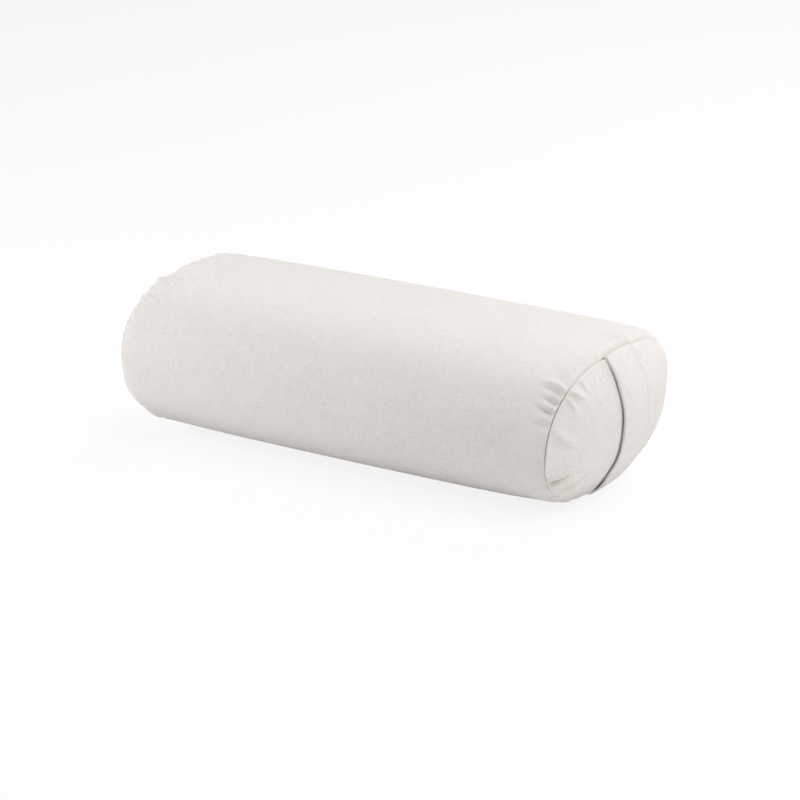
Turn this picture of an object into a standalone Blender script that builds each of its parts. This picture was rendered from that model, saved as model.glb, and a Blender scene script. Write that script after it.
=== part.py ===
"""Yoga bolster: a canvas cover with a carry handle and a zip, over a filled inner cushion.

The bolster lies along X and stands on the plane z = 0, with the handle at +X and the
zip along the back, at +Y. All sizes are in metres.
"""

import math

import bmesh
import bpy

# Overall form
SEAM_SPACING = 0.575      # between the two end seams, at the widest line
END_CROWN = 0.036         # how far each end panel swells past its seam
WIDTH = 0.300
HEIGHT = 0.1925
WIDEST_HEIGHT = 0.0915    # height of the widest line above the floor
FLOOR_FLAT = 0.0005       # depth of the flat that the bolster lies on
TOP_SQUARENESS = 2.53     # superellipse power of the upper half, 2 is round
BOTTOM_SQUARENESS = 2.16
CROWN_POWER = 2.2         # 2 is a plain dome, more is flatter in the middle

# How the cover is drawn in towards its seams
SIDE_BARREL = 0.0077      # the middle is this much wider on each side than the ends
TOP_BARREL = 0.0031
END_LIFT = 0.0025         # the underside leaves the floor by this much at the seams
SHOULDER = 0.0115         # length over which the cover rounds into the end seam
TUCK_SIDE = 0.0015        # how far it rounds in at the sides, the top and the underside
TUCK_TOP = 0.0125
TUCK_BOTTOM = 0.0065
END_LEAN = 0.095          # the ends reach further at the top, as metres of X per metre of Z
STRAIGHT_SHARE = 0.5      # middle share of the length that neither lifts nor leans

# Cloth
CANVAS = 0.0010           # thickness of the cover
LINING = 0.0006           # thickness of the inner case
SEAM_ALLOWANCE = 0.008    # cloth turned in at each end seam
SEAM_GAP = 0.0003         # between pieces that are sewn together
LAYER_GAP = 0.0005        # between the cover, the inner case and the filling
CROWN_GAP = 0.0015        # between the cover and the inner case in the middle of an end

# Carry handle
HANDLE_WIDTH = 0.060
HANDLE_THICKNESS = 0.0024
HANDLE_IN_SEAM = 0.006    # length of each end that the seam holds
HANDLE_TURN = 0.0006      # room for the panel's rim where the handle turns over it
HANDLE_STAND_OFF = 0.0022  # gap to the end panel over its upper part
HANDLE_STAND_SHARE = 0.2  # share of the way over the end in which it opens to that gap
HANDLE_SLACK = 0.0024     # what the gap grows by in the lower part
HANDLE_SLACK_PLACE = 0.74  # where the slack is greatest, as a share of the way down
HANDLE_SLACK_SPREAD = 0.14
HANDLE_LEAD = 0.0200      # the seam stays open this far beside the handle
HANDLE_RISE = 0.0300      # and closes over this width

# Zip
ZIP_LENGTH = 0.410        # row of teeth
ZIP_SLOT = 0.0100         # width of the opening in the cover
ZIP_STRIP = 0.034         # height of the flat strip of cover that the zip is sewn behind
TAPE_WIDTH = 0.0113
TAPE_THICKNESS = 0.0007
TAPE_EXTRA = 0.008        # tape past each end of the opening
SLOT_MARGIN = 0.002       # opening past the bottom stop
SLOT_CUT = 0.004          # reach of the opening's cutter to each side of the cover's face
STRIP_MARGIN = 0.006      # flat strip past each end of the tape
TOOTH_PITCH = 0.005
TOOTH_REACH = 0.0015      # how far a tooth reaches past the centre line
TOOTH_RIB = 0.0014        # height of the rib that carries the teeth
TOOTH_RIB_START = 0.0020  # distance of the rib from the centre line
TEETH_THICKNESS = 0.0020
STOP_LENGTH = 0.0020
BOTTOM_STOP_LENGTH = 0.0030
ZIP_GAP = 0.0003          # between the zip's own pieces
SLIDER_GAP = 0.0004       # between the slider's plates and the teeth
SLIDER_LENGTH = 0.0120
SLIDER_WIDTH = 0.0090
SLIDER_PLATE = 0.0014
SLIDER_FLANGE = 0.0007
WEDGE_WIDTH = 0.0018
WEDGE_LENGTH = 0.0030
WEDGE_START = 0.0020      # from the slider's middle to the wedge, towards its mouth
BAIL_WIDTH = 0.0018
BAIL_BAR = 0.0011
BAIL_WINDOW = 0.0034      # length of the window that the pull hangs in
BAIL_CLEARANCE = 0.0008   # from the pull's bar to the plate below and the bail above
PULL_LENGTH = 0.0300
PULL_WIDTH = 0.0070
PULL_THICKNESS = 0.0012
PULL_CORNER = 0.0023
PULL_HOLE_LENGTH = 0.0040
PULL_HOLE_WIDTH = 0.0032

# Facets
LOWER_BACK_POINTS = 7
REST_POINTS = 25
MIDDLE_STEPS = (0.0, 0.31, 0.62, 1.0)     # shares of the way to the end of the flat strip
SHOULDER_STEPS = (0.0, 0.55, 0.87, 1.0)   # shares of the way through the shoulder
PANEL_RINGS = 6
LINER_RINGS = 4
FIRST_RING = 0.6          # the middle facet of a crowned end, as a share of a ring's step
HANDLE_STEPS = 14
HANDLE_END_STEP = 0.35    # first and last step of the handle's path, as a share of the others
HANDLE_LINES = (-0.5, -0.25, 0.0, 0.25, 0.5)  # places across the handle, as shares of its width
PLATE_CORNER_SEGMENTS = 2
PULL_CORNER_SEGMENTS = 4
ROUND_PROFILE = 0.5
SMOOTH_ANGLE = math.radians(50)

HALF_SEAM = SEAM_SPACING / 2
DOWN = WIDEST_HEIGHT + FLOOR_FLAT
UP = HEIGHT - WIDEST_HEIGHT

# The zip flattens the back by what the section falls away over half the strip
STRIP_SHARE = (1 - (ZIP_STRIP / 2 / DOWN) ** BOTTOM_SQUARENESS) ** (1 / BOTTOM_SQUARENESS)
STRIP_DEPTH = WIDTH / 2 * (1 / STRIP_SHARE - 1)

SLOT_LOW = -ZIP_LENGTH / 2 - BOTTOM_STOP_LENGTH - SLOT_MARGIN
SLOT_HIGH = ZIP_LENGTH / 2 + SLIDER_LENGTH
ZIP_BAND = SLOT_HIGH + TAPE_EXTRA + STRIP_MARGIN

# Depths of the zip below the cover's outer face
TAPE_TOP = CANVAS + ZIP_GAP
TAPE_MIDDLE = TAPE_TOP + TAPE_THICKNESS / 2
TEETH_TOP = TAPE_MIDDLE - TEETH_THICKNESS / 2
TEETH_BOTTOM = TAPE_MIDDLE + TEETH_THICKNESS / 2
SLIDER_TOP = TEETH_TOP - SLIDER_GAP - SLIDER_PLATE
SLIDER_BOTTOM = TEETH_BOTTOM + SLIDER_GAP + SLIDER_PLATE
BACK_PLANE = WIDTH / 2


def clear_scene():
    for item in list(bpy.data.objects):
        bpy.data.objects.remove(item, do_unlink=True)


def make_material(name, colour, roughness, metallic=0.0):
    material = bpy.data.materials.new(name)
    material.use_nodes = True
    shader = material.node_tree.nodes["Principled BSDF"]
    shader.inputs["Base Color"].default_value = (*colour, 1.0)
    shader.inputs["Roughness"].default_value = roughness
    shader.inputs["Metallic"].default_value = metallic
    return material


def add_object(name, bm, material, smooth=False):
    """Turn a bmesh into an object with its material, shaded smooth where it is cloth."""
    bmesh.ops.recalc_face_normals(bm, faces=bm.faces)
    mesh = bpy.data.meshes.new(name)
    bm.to_mesh(mesh)
    bm.free()
    if smooth:
        mesh.shade_smooth()
        mesh.set_sharp_from_angle(angle=SMOOTH_ANGLE)
    item = bpy.data.objects.new(name, mesh)
    if material:
        item.data.materials.append(material)
    bpy.context.collection.objects.link(item)
    return item


def add_box(bm, low, high):
    """Add a box between two corners."""
    size = [b - a for a, b in zip(low, high)]
    middle = [(a + b) / 2 for a, b in zip(low, high)]
    verts = bmesh.ops.create_cube(bm, size=1.0)["verts"]
    bmesh.ops.scale(bm, vec=size, verts=verts)
    bmesh.ops.translate(bm, vec=middle, verts=verts)


def round_corners(bm, edges, radius, segments):
    bmesh.ops.bevel(
        bm, geom=edges, offset=radius, segments=segments, affect="EDGES", profile=ROUND_PROFILE
    )


def edges_along_y(bm):
    return [edge for edge in bm.edges if edge.verts[0].co.y != edge.verts[1].co.y]


def boolean(target, tool, operation):
    """Cut a tool out of a target, or join it on, and keep the tool as a guide only."""
    tool.hide_render = True
    tool.display_type = "WIRE"
    modifier = target.modifiers.new(tool.name, "BOOLEAN")
    modifier.operation = operation
    modifier.solver = "EXACT"
    modifier.object = tool


# The cover's form, which every soft layer shares


def section_angles():
    """Angles round the section, from one edge of the floor flat to the other.

    No point falls between the strip's two edges at the back, so the zip lies on a flat.
    """
    floor = math.acos((1 - FLOOR_FLAT / DOWN) ** (BOTTOM_SQUARENESS / 2))
    strip_low = math.asin((ZIP_STRIP / 2 / DOWN) ** (BOTTOM_SQUARENESS / 2))
    strip_high = math.asin((ZIP_STRIP / 2 / UP) ** (TOP_SQUARENESS / 2))
    start = -math.pi / 2 + floor
    end = 1.5 * math.pi - floor
    lower = [start + (-strip_low - start) * i / (LOWER_BACK_POINTS - 1) for i in range(LOWER_BACK_POINTS)]
    rest = [strip_high + (end - strip_high) * i / (REST_POINTS - 1) for i in range(REST_POINTS)]
    return lower + rest


ANGLES = section_angles()


def smooth_step(value):
    value = min(max(value, 0.0), 1.0)
    return value * value * (3 - 2 * value)


def past_middle(x, reach):
    """0 over the straight middle of the length, then rising to 1 at the reach of a layer."""
    return max(0.0, (abs(x) / reach - STRAIGHT_SHARE) / (1 - STRAIGHT_SHARE))


def half_sizes(x, inset, tuck=0.0):
    """Front, back, upper and lower half size of a layer's section at a place along X."""
    reach = HALF_SEAM - inset
    along = min(abs(x) / reach, 1.0)
    into = min(max((abs(x) - reach + SHOULDER) / SHOULDER, 0.0), 1.0)
    rounded = 1 - math.sqrt(1 - into * into)
    back_drop = smooth_step((abs(x) - ZIP_BAND) / (reach - ZIP_BAND))
    lift = min(past_middle(x, reach), 1.0) ** 2
    front = WIDTH / 2 - SIDE_BARREL * along**2 - (TUCK_SIDE + tuck) * rounded
    back = BACK_PLANE + STRIP_DEPTH - SIDE_BARREL * back_drop - (TUCK_SIDE + tuck) * rounded
    up = UP - TOP_BARREL * along**2 - (TUCK_TOP + tuck) * rounded
    down = DOWN - END_LIFT * lift - (TUCK_BOTTOM + tuck) * rounded
    return [size - inset for size in (front, back, up, down)]


def section(sizes, strip_depth, scale=1.0, shrink=0.0):
    """Section outline as (y, z) about the widest line, flattened where the zip is."""
    front, back, up, down = [(size - shrink) * scale for size in sizes]
    flat = back - strip_depth * scale
    outline = []
    for angle in ANGLES:
        c = math.cos(angle)
        s = math.sin(angle)
        power = 2 / (TOP_SQUARENESS if s >= 0 else BOTTOM_SQUARENESS)
        y = math.copysign((back if c >= 0 else front) * abs(c) ** power, c)
        z = math.copysign((up if s >= 0 else down) * abs(s) ** power, s)
        outline.append((min(y, flat), z))
    return outline


def lean(x, z):
    """Shift along X of a point near an end, so that the end leans out at the top."""
    return math.copysign(past_middle(x, HALF_SEAM), x) * END_LEAN * z


def ring(x, outline):
    """Points of a section placed along X, with the lean of the ends."""
    return [(x + lean(x, z), y, z + WIDEST_HEIGHT) for y, z in outline]


def stations(reach):
    """Places along X for a layer: wide steps in the middle and close ones at the shoulder."""
    middle = [ZIP_BAND * share for share in MIDDLE_STEPS]
    shoulder = [reach - SHOULDER * (1 - share) for share in SHOULDER_STEPS]
    half = middle + [(ZIP_BAND + shoulder[0]) / 2] + shoulder
    return [-x for x in reversed(half)] + half[1:]


def loft(bm, rings, cyclic):
    """Join rings of points by faces, closed on itself or capped at both ends."""
    loops = [[bm.verts.new(point) for point in points] for points in rings]
    count = len(loops[0])
    pairs = list(zip(loops, loops[1:]))
    if cyclic:
        pairs.append((loops[-1], loops[0]))
    for first, second in pairs:
        for i in range(count):
            j = (i + 1) % count
            bm.faces.new((first[i], first[j], second[j], second[i]))
    if not cyclic:
        bm.faces.new(loops[0])
        bm.faces.new(loops[-1])


# Cover


def build_cover_tube(material):
    """The long panel of the cover, turned in at both end seams and open for the zip."""
    outer = [ring(x, section(half_sizes(x, 0.0), STRIP_DEPTH)) for x in stations(HALF_SEAM)]
    inner_reach = HALF_SEAM - CANVAS
    inner_places = list(reversed(stations(inner_reach)))
    inner = [ring(x, section(half_sizes(x, CANVAS), STRIP_DEPTH)) for x in inner_places]
    seam_sizes = half_sizes(HALF_SEAM, 0.0)
    tip = section(seam_sizes, STRIP_DEPTH, shrink=SEAM_ALLOWANCE)
    near_tips = [ring(HALF_SEAM, tip), ring(inner_reach, tip)]
    far_tips = [ring(-inner_reach, tip), ring(-HALF_SEAM, tip)]
    bm = bmesh.new()
    loft(bm, outer + near_tips + inner + far_tips, cyclic=True)
    tube = add_object("cover_tube", bm, material, smooth=True)
    slot = bmesh.new()
    back_box(slot, (SLOT_LOW, SLOT_HIGH), (-SLOT_CUT, SLOT_CUT), (-ZIP_SLOT / 2, ZIP_SLOT / 2))
    boolean(tube, add_object("zip_opening", slot, None), "DIFFERENCE")
    return tube


def seam_swell(y, with_handle):
    """Gap in the end seam: it opens to take in the handle, and closes again beside it."""
    if not with_handle:
        return SEAM_GAP
    beside = (abs(y) - HANDLE_WIDTH / 2 - HANDLE_LEAD) / HANDLE_RISE
    share = 1 - min(max(beside, 0.0), 1.0)
    return SEAM_GAP + share * (HANDLE_THICKNESS + SEAM_GAP)


def panel_ring(side, with_handle, outline, seam_outline, rise, fade):
    """Ring of an end panel, raised past the seam, with the swell beside the handle."""
    points = []
    for (y, z), (seam_y, _) in zip(outline, seam_outline):
        x = HALF_SEAM + rise + seam_swell(seam_y, with_handle) * fade + END_LEAN * z
        points.append((side * x, y, z + WIDEST_HEIGHT))
    return points


def crown(radius, height=END_CROWN):
    """How far a crowned end stands out, at a share of the way from its middle to its seam."""
    return height * (1 - radius**CROWN_POWER)


def dome_radii(count):
    """Shares of the way from the middle of a crowned end to its seam, closer near the seam."""
    quarter = math.pi / 2 / (count + FIRST_RING)
    return [math.sin(quarter * (i + FIRST_RING)) for i in range(count)]


def build_end_panel(name, side, with_handle, material):
    """A crowned end panel, folded under along its seam."""
    sizes = half_sizes(HALF_SEAM, 0.0)
    seam = section(sizes, STRIP_DEPTH)
    radii = dome_radii(PANEL_RINGS)
    rings = []
    for radius in radii:
        outline = section(sizes, STRIP_DEPTH, scale=radius)
        rings.append(panel_ring(side, with_handle, outline, seam, crown(radius), radius**2))
    rings.append(panel_ring(side, with_handle, seam, seam, 0.0, 1.0))
    tip = section(sizes, STRIP_DEPTH, shrink=SEAM_ALLOWANCE)
    apex = section(sizes, STRIP_DEPTH, shrink=SEAM_ALLOWANCE / 2)
    rings.append(panel_ring(side, with_handle, tip, seam, 0.0, 1.0))
    rings.append(panel_ring(side, with_handle, tip, seam, CANVAS, 1.0))
    rings.append(panel_ring(side, with_handle, apex, seam, CANVAS, 1.0))
    for radius in reversed(radii[:-1]):
        outline = section(sizes, STRIP_DEPTH, scale=radius)
        rings.append(panel_ring(side, with_handle, outline, seam, crown(radius) - CANVAS, radius**2))
    bm = bmesh.new()
    loft(bm, rings, cyclic=False)
    return add_object(name, bm, material, smooth=True)


def panel_surface(y, z):
    """Distance along X from the seam plane to the handle panel's outer face."""
    front, back, up, down = half_sizes(HALF_SEAM, 0.0)
    power = TOP_SQUARENESS if z >= 0 else BOTTOM_SQUARENESS
    tall = up if z >= 0 else down
    wide = back if y >= 0 else front
    radius = ((abs(y) / wide) ** power + (abs(z) / tall) ** power) ** (1 / power)
    radius = min(max(radius, 0.001), 1.0)
    return crown(radius) + seam_swell(y / radius, True) * radius**2


def seam_height(y, sign):
    """Height of the end seam above or below the widest line, at a place across the end."""
    front, back, up, down = half_sizes(HALF_SEAM, 0.0)
    power = TOP_SQUARENESS if sign > 0 else BOTTOM_SQUARENESS
    tall = up if sign > 0 else down
    wide = back if y >= 0 else front
    height = tall * (1 - (abs(y) / wide) ** power) ** (1 / power)
    if sign < 0:
        height = min(height, down * (1 - FLOOR_FLAT / DOWN))
    return sign * height


def handle_path(y):
    """Inner face of the handle at one place across it, as (x, z) past the seam plane.

    It comes out of the top seam, turns over the panel's rim, follows the crown and turns
    back into the bottom seam.
    """
    top = seam_height(y, 1)
    bottom = seam_height(y, -1)
    in_seam = SEAM_GAP + HANDLE_THICKNESS
    turn = HANDLE_TURN
    path = [(in_seam, top - HANDLE_IN_SEAM), (in_seam, top - turn), (in_seam + turn / 2, top + turn)]
    for i in range(HANDLE_STEPS + 1):
        share = (i + HANDLE_END_STEP) / (HANDLE_STEPS + 2 * HANDLE_END_STEP)
        z = top + (bottom - top) * (1 - math.cos(math.pi * share)) / 2
        gap = HANDLE_STAND_OFF * min(1.0, min(share, 1 - share) / HANDLE_STAND_SHARE)
        slack = HANDLE_SLACK * math.exp(-(((share - HANDLE_SLACK_PLACE) / HANDLE_SLACK_SPREAD) ** 2))
        path.append((panel_surface(y, z) + HANDLE_TURN + gap + slack, z))
    path += [(in_seam + turn / 2, bottom - turn), (in_seam, bottom + turn), (in_seam, bottom + HANDLE_IN_SEAM)]
    return path


def thicken(path, thickness):
    """Second face of a strip: each point moved outwards, square to the path."""
    outer = []
    for i, (x, z) in enumerate(path):
        before = path[max(i - 1, 0)]
        after = path[min(i + 1, len(path) - 1)]
        dx = after[0] - before[0]
        dz = after[1] - before[1]
        length = math.hypot(dx, dz)
        outer.append((x - dz / length * thickness, z + dx / length * thickness))
    return outer


def build_handle(material):
    """A folded band of the cover's canvas over the end panel, held in the seam at both ends."""
    across = [HANDLE_WIDTH * share for share in HANDLE_LINES]
    inner = [handle_path(y) for y in across]
    outer = [thicken(path, HANDLE_THICKNESS) for path in inner]
    bm = bmesh.new()
    rings = []
    for i in range(len(inner[0])):
        loop = [(inner[k][i], across[k]) for k in range(len(across))]
        loop += [(outer[k][i], across[k]) for k in reversed(range(len(across)))]
        rings.append([(HALF_SEAM + x + END_LEAN * z, y, z + WIDEST_HEIGHT) for (x, z), y in loop])
    loft(bm, rings, cyclic=False)
    return add_object("carry_handle", bm, material, smooth=True)


# Inner cushion


def inner_sizes(x, inset):
    """Half sizes of a layer inside the cover, rounded further in to pass the turned seams."""
    return half_sizes(x, inset, tuck=SEAM_ALLOWANCE + LAYER_GAP)


def inner_section(x, inset, zip_depth, scale=1.0):
    """Section of a layer inside the cover, pressed in behind the zip."""
    return section(inner_sizes(x, inset), STRIP_DEPTH + zip_depth - inset, scale=scale)


def zip_recess(inset):
    """How deep a layer's back lies below the cover's outer face, behind the slider."""
    return SLIDER_BOTTOM + SLIDER_GAP + inset - CANVAS - LAYER_GAP


def build_liner_tube(material):
    """The long panel of the inner case, open at both ends."""
    outside = CANVAS + LAYER_GAP
    inside = outside + LINING
    bm = bmesh.new()
    outer = []
    inner = []
    for x in stations(HALF_SEAM - outside):
        outer.append(ring(x, inner_section(x, outside, zip_recess(outside))))
    for x in reversed(stations(HALF_SEAM - inside)):
        inner.append(ring(x, inner_section(x, inside, zip_recess(inside))))
    loft(bm, outer + inner, cyclic=True)
    return add_object("liner_tube", bm, material, smooth=True)


def dome_rings(side, start, inset, rises):
    """Rings of a crowned end inside the cover, from the middle out to its edge."""
    rings = []
    for radius, rise in rises:
        outline = inner_section(start, inset, zip_recess(inset), scale=radius)
        rings.append([(side * (start + rise + END_LEAN * z), y, z + WIDEST_HEIGHT) for y, z in outline])
    return rings


def build_liner_end(name, side, material):
    """A crowned end of the inner case."""
    inset = CANVAS + LAYER_GAP
    start = HALF_SEAM - inset
    radii = dome_radii(LINER_RINGS) + [1.0]
    rise = END_CROWN - CROWN_GAP
    outer = [(radius, SEAM_GAP + LINING + crown(radius, rise)) for radius in radii]
    inner = [(radius, SEAM_GAP + crown(radius, rise)) for radius in reversed(radii)]
    bm = bmesh.new()
    loft(bm, dome_rings(side, start, inset, outer + inner), cyclic=False)
    return add_object(name, bm, material, smooth=True)


def build_filling(material):
    """The filling as one body that fits the inner case."""
    inset = CANVAS + LAYER_GAP + LINING + LAYER_GAP
    reach = HALF_SEAM - inset
    domes = [(radius, crown(radius, END_CROWN - CROWN_GAP)) for radius in dome_radii(LINER_RINGS)]
    body = [ring(x, inner_section(x, inset, zip_recess(inset))) for x in stations(reach)]
    bm = bmesh.new()
    near = list(reversed(dome_rings(1, reach, inset, domes)))
    loft(bm, dome_rings(-1, reach, inset, domes) + body + near, cyclic=False)
    return add_object("filling", bm, material, smooth=True)


# Zip, all of it below or through the flat strip at the back


def back_box(bm, x_range, depth_range, z_range):
    """Box given by its depth below the cover's outer face and its height from the zip's line."""
    low = (x_range[0], BACK_PLANE - depth_range[1], WIDEST_HEIGHT + z_range[0])
    high = (x_range[1], BACK_PLANE - depth_range[0], WIDEST_HEIGHT + z_range[1])
    add_box(bm, low, high)


def signed_range(sign, near, far):
    return (near, far) if sign > 0 else (-far, -near)


def build_tape(name, sign, material):
    bm = bmesh.new()
    start = TOOTH_RIB_START + TOOTH_RIB + ZIP_GAP
    back_box(
        bm,
        (SLOT_LOW - TAPE_EXTRA, SLOT_HIGH + TAPE_EXTRA),
        (TAPE_TOP, TAPE_TOP + TAPE_THICKNESS),
        signed_range(sign, start, start + TAPE_WIDTH),
    )
    return add_object(name, bm, material)


def build_teeth(name, sign, material):
    """A rib with a row of teeth that mesh with the other row: a comb, extruded."""
    half = ZIP_LENGTH / 2
    count = int(round(ZIP_LENGTH / TOOTH_PITCH))
    pitch = ZIP_LENGTH / count
    shift = 0.0 if sign > 0 else pitch / 2
    outline = [(-half, TOOTH_RIB_START + TOOTH_RIB), (-half, TOOTH_RIB_START)]
    for i in range(count):
        start = -half + i * pitch + shift + ZIP_GAP / 2
        end = start + pitch / 2 - ZIP_GAP
        outline += [
            (start, TOOTH_RIB_START),
            (start, -TOOTH_REACH),
            (end, -TOOTH_REACH),
            (end, TOOTH_RIB_START),
        ]
    outline += [(half, TOOTH_RIB_START), (half, TOOTH_RIB_START + TOOTH_RIB)]
    bm = bmesh.new()
    base = [
        bm.verts.new((x, BACK_PLANE - TEETH_BOTTOM, WIDEST_HEIGHT + sign * z)) for x, z in outline
    ]
    face = bm.faces.new(base)
    grown = bmesh.ops.extrude_face_region(bm, geom=[face])
    verts = [item for item in grown["geom"] if isinstance(item, bmesh.types.BMVert)]
    bmesh.ops.translate(bm, vec=(0, TEETH_THICKNESS, 0), verts=verts)
    return add_object(name, bm, material)


def build_top_stop(name, sign, material):
    """A stop clamped on the tape past the last tooth, beside the slider's wedge."""
    start = ZIP_LENGTH / 2 + ZIP_GAP
    bm = bmesh.new()
    back_box(
        bm,
        (start, start + STOP_LENGTH),
        (TEETH_TOP, TEETH_BOTTOM),
        signed_range(sign, WEDGE_WIDTH / 2 + ZIP_GAP, TOOTH_RIB_START + TOOTH_RIB),
    )
    return add_object(name, bm, material)


def build_bottom_stop(material):
    """The stop that holds both rows together where the zip never opens."""
    start = -ZIP_LENGTH / 2 - ZIP_GAP
    edge = TOOTH_RIB_START + TOOTH_RIB
    bm = bmesh.new()
    back_box(
        bm,
        (start - BOTTOM_STOP_LENGTH, start),
        (TEETH_TOP, TEETH_BOTTOM),
        (-edge, edge),
    )
    return add_object("zip_bottom_stop", bm, material)


SLIDER_REST = ZIP_LENGTH / 2 + ZIP_GAP - WEDGE_START
PULL_AXIS_DEPTH = SLIDER_TOP - PULL_THICKNESS / 2 - BAIL_CLEARANCE


def build_slider(material):
    """Two plates round the teeth, joined by the wedge at the mouth, with the bail on top."""
    half = SLIDER_LENGTH / 2
    wide = SLIDER_WIDTH / 2
    flange = (wide - SLIDER_FLANGE, wide)
    bm = bmesh.new()
    back_box(bm, (-half, half), (SLIDER_TOP, SLIDER_TOP + SLIDER_PLATE), (-wide, wide))
    round_corners(bm, edges_along_y(bm), SLIDER_PLATE, PLATE_CORNER_SEGMENTS)
    slider = add_object("zip_slider", bm, material)
    pieces = {
        "slider_lower_plate": ((-half, half), (SLIDER_BOTTOM - SLIDER_PLATE, SLIDER_BOTTOM), (-wide, wide)),
        "slider_wedge": (
            (WEDGE_START, WEDGE_START + WEDGE_LENGTH),
            (SLIDER_TOP + SLIDER_PLATE / 2, SLIDER_BOTTOM - SLIDER_PLATE / 2),
            (-WEDGE_WIDTH / 2, WEDGE_WIDTH / 2),
        ),
    }
    inner = half - SLIDER_PLATE
    for side, sign in (("upper", 1), ("lower", -1)):
        heights = signed_range(sign, *flange)
        pieces["slider_outer_flange_" + side] = (
            (-inner, inner),
            (SLIDER_TOP + SLIDER_PLATE / 2, TAPE_TOP - ZIP_GAP),
            heights,
        )
        pieces["slider_inner_flange_" + side] = (
            (-inner, inner),
            (TAPE_TOP + TAPE_THICKNESS + ZIP_GAP, SLIDER_BOTTOM - SLIDER_PLATE / 2),
            heights,
        )
    window = BAIL_WINDOW / 2
    bail_top = PULL_AXIS_DEPTH - PULL_THICKNESS / 2 - BAIL_CLEARANCE - BAIL_BAR
    rib = (-BAIL_WIDTH / 2, BAIL_WIDTH / 2)
    sunk = SLIDER_TOP + SLIDER_PLATE / 2
    pieces["bail_rear_leg"] = ((-window - BAIL_BAR, -window), (bail_top, sunk), rib)
    pieces["bail_front_leg"] = ((window, window + BAIL_BAR), (bail_top, sunk), rib)
    pieces["bail_bar"] = ((-window - BAIL_BAR / 2, window + BAIL_BAR / 2), (bail_top, bail_top + BAIL_BAR), rib)
    for name, ranges in pieces.items():
        piece = bmesh.new()
        back_box(piece, *ranges)
        tool = add_object(name, piece, None)
        tool.parent = slider
        boolean(slider, tool, "UNION")
    slider.location.x = SLIDER_REST
    return slider


def build_pull(material):
    """A flat tab that hangs by its end bar in the bail and lies along the teeth."""
    half_bar = PULL_THICKNESS / 2
    depths = (-half_bar, half_bar)
    bm = bmesh.new()
    add_box(bm, (half_bar - PULL_LENGTH, depths[0], -PULL_WIDTH / 2), (half_bar, depths[1], PULL_WIDTH / 2))
    far_corners = [edge for edge in edges_along_y(bm) if edge.verts[0].co.x < 0]
    round_corners(bm, far_corners, PULL_CORNER, PULL_CORNER_SEGMENTS)
    pull = add_object("zip_pull", bm, material)
    hole = bmesh.new()
    add_box(
        hole,
        (-half_bar - PULL_HOLE_LENGTH, -PULL_THICKNESS, -PULL_HOLE_WIDTH / 2),
        (-half_bar, PULL_THICKNESS, PULL_HOLE_WIDTH / 2),
    )
    tool = add_object("pull_hole", hole, None)
    tool.parent = pull
    boolean(pull, tool, "DIFFERENCE")
    pull.location = (SLIDER_REST, BACK_PLANE - PULL_AXIS_DEPTH, WIDEST_HEIGHT)
    return pull


def main():
    clear_scene()
    canvas = (0.83, 0.80, 0.75)
    build_cover_tube(make_material("canvas_tube", canvas, 0.9))
    build_end_panel("handle_end_panel", 1, True, make_material("canvas_handle_end", canvas, 0.9))
    build_end_panel("plain_end_panel", -1, False, make_material("canvas_plain_end", canvas, 0.9))
    build_handle(make_material("canvas_handle", canvas, 0.9))
    lining = (0.86, 0.84, 0.80)
    build_liner_tube(make_material("lining_tube", lining, 0.85))
    build_liner_end("liner_handle_end", 1, make_material("lining_handle_end", lining, 0.85))
    build_liner_end("liner_plain_end", -1, make_material("lining_plain_end", lining, 0.85))
    build_filling(make_material("cotton_filling", (0.88, 0.86, 0.80), 1.0))
    tape = (0.80, 0.77, 0.71)
    build_tape("zip_tape_upper", 1, make_material("tape_upper", tape, 0.8))
    build_tape("zip_tape_lower", -1, make_material("tape_lower", tape, 0.8))
    resin = (0.82, 0.79, 0.73)
    build_teeth("zip_teeth_upper", 1, make_material("teeth_upper", resin, 0.45))
    build_teeth("zip_teeth_lower", -1, make_material("teeth_lower", resin, 0.45))
    build_top_stop("zip_top_stop_upper", 1, make_material("stop_upper", resin, 0.45))
    build_top_stop("zip_top_stop_lower", -1, make_material("stop_lower", resin, 0.45))
    build_bottom_stop(make_material("stop_bottom", resin, 0.45))
    metal = (0.62, 0.60, 0.57)
    build_slider(make_material("slider_metal", metal, 0.35, 1.0))
    build_pull(make_material("pull_metal", metal, 0.35, 1.0))


main()
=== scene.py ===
"""Yoga bolster: the looks of the sewn cover, its handle and zip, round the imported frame.

Metres throughout. X runs along the bolster towards the handle, Z is up, and +Y is the back.
"""

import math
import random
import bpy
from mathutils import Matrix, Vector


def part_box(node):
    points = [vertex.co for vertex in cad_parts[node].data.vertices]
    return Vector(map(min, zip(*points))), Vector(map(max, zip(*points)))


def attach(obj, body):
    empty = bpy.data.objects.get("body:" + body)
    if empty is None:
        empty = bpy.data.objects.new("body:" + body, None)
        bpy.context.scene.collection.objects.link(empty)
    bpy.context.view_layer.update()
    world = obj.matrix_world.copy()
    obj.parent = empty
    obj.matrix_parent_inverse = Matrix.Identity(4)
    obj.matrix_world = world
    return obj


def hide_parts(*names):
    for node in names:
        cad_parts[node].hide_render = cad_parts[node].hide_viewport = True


bl_info = {
    "name": "Yoga bolster",
    "version": (1, 0, 0),
    "blender": (4, 5, 0),
    "location": "3D View > Sidebar > Bolster",
    "description": "Models a sewn canvas bolster with its carry handle, zip and inner cushion",
    "category": "Add Mesh",
}

import bmesh
import bpy
import numpy as np
from mathutils import Matrix, Vector

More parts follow.
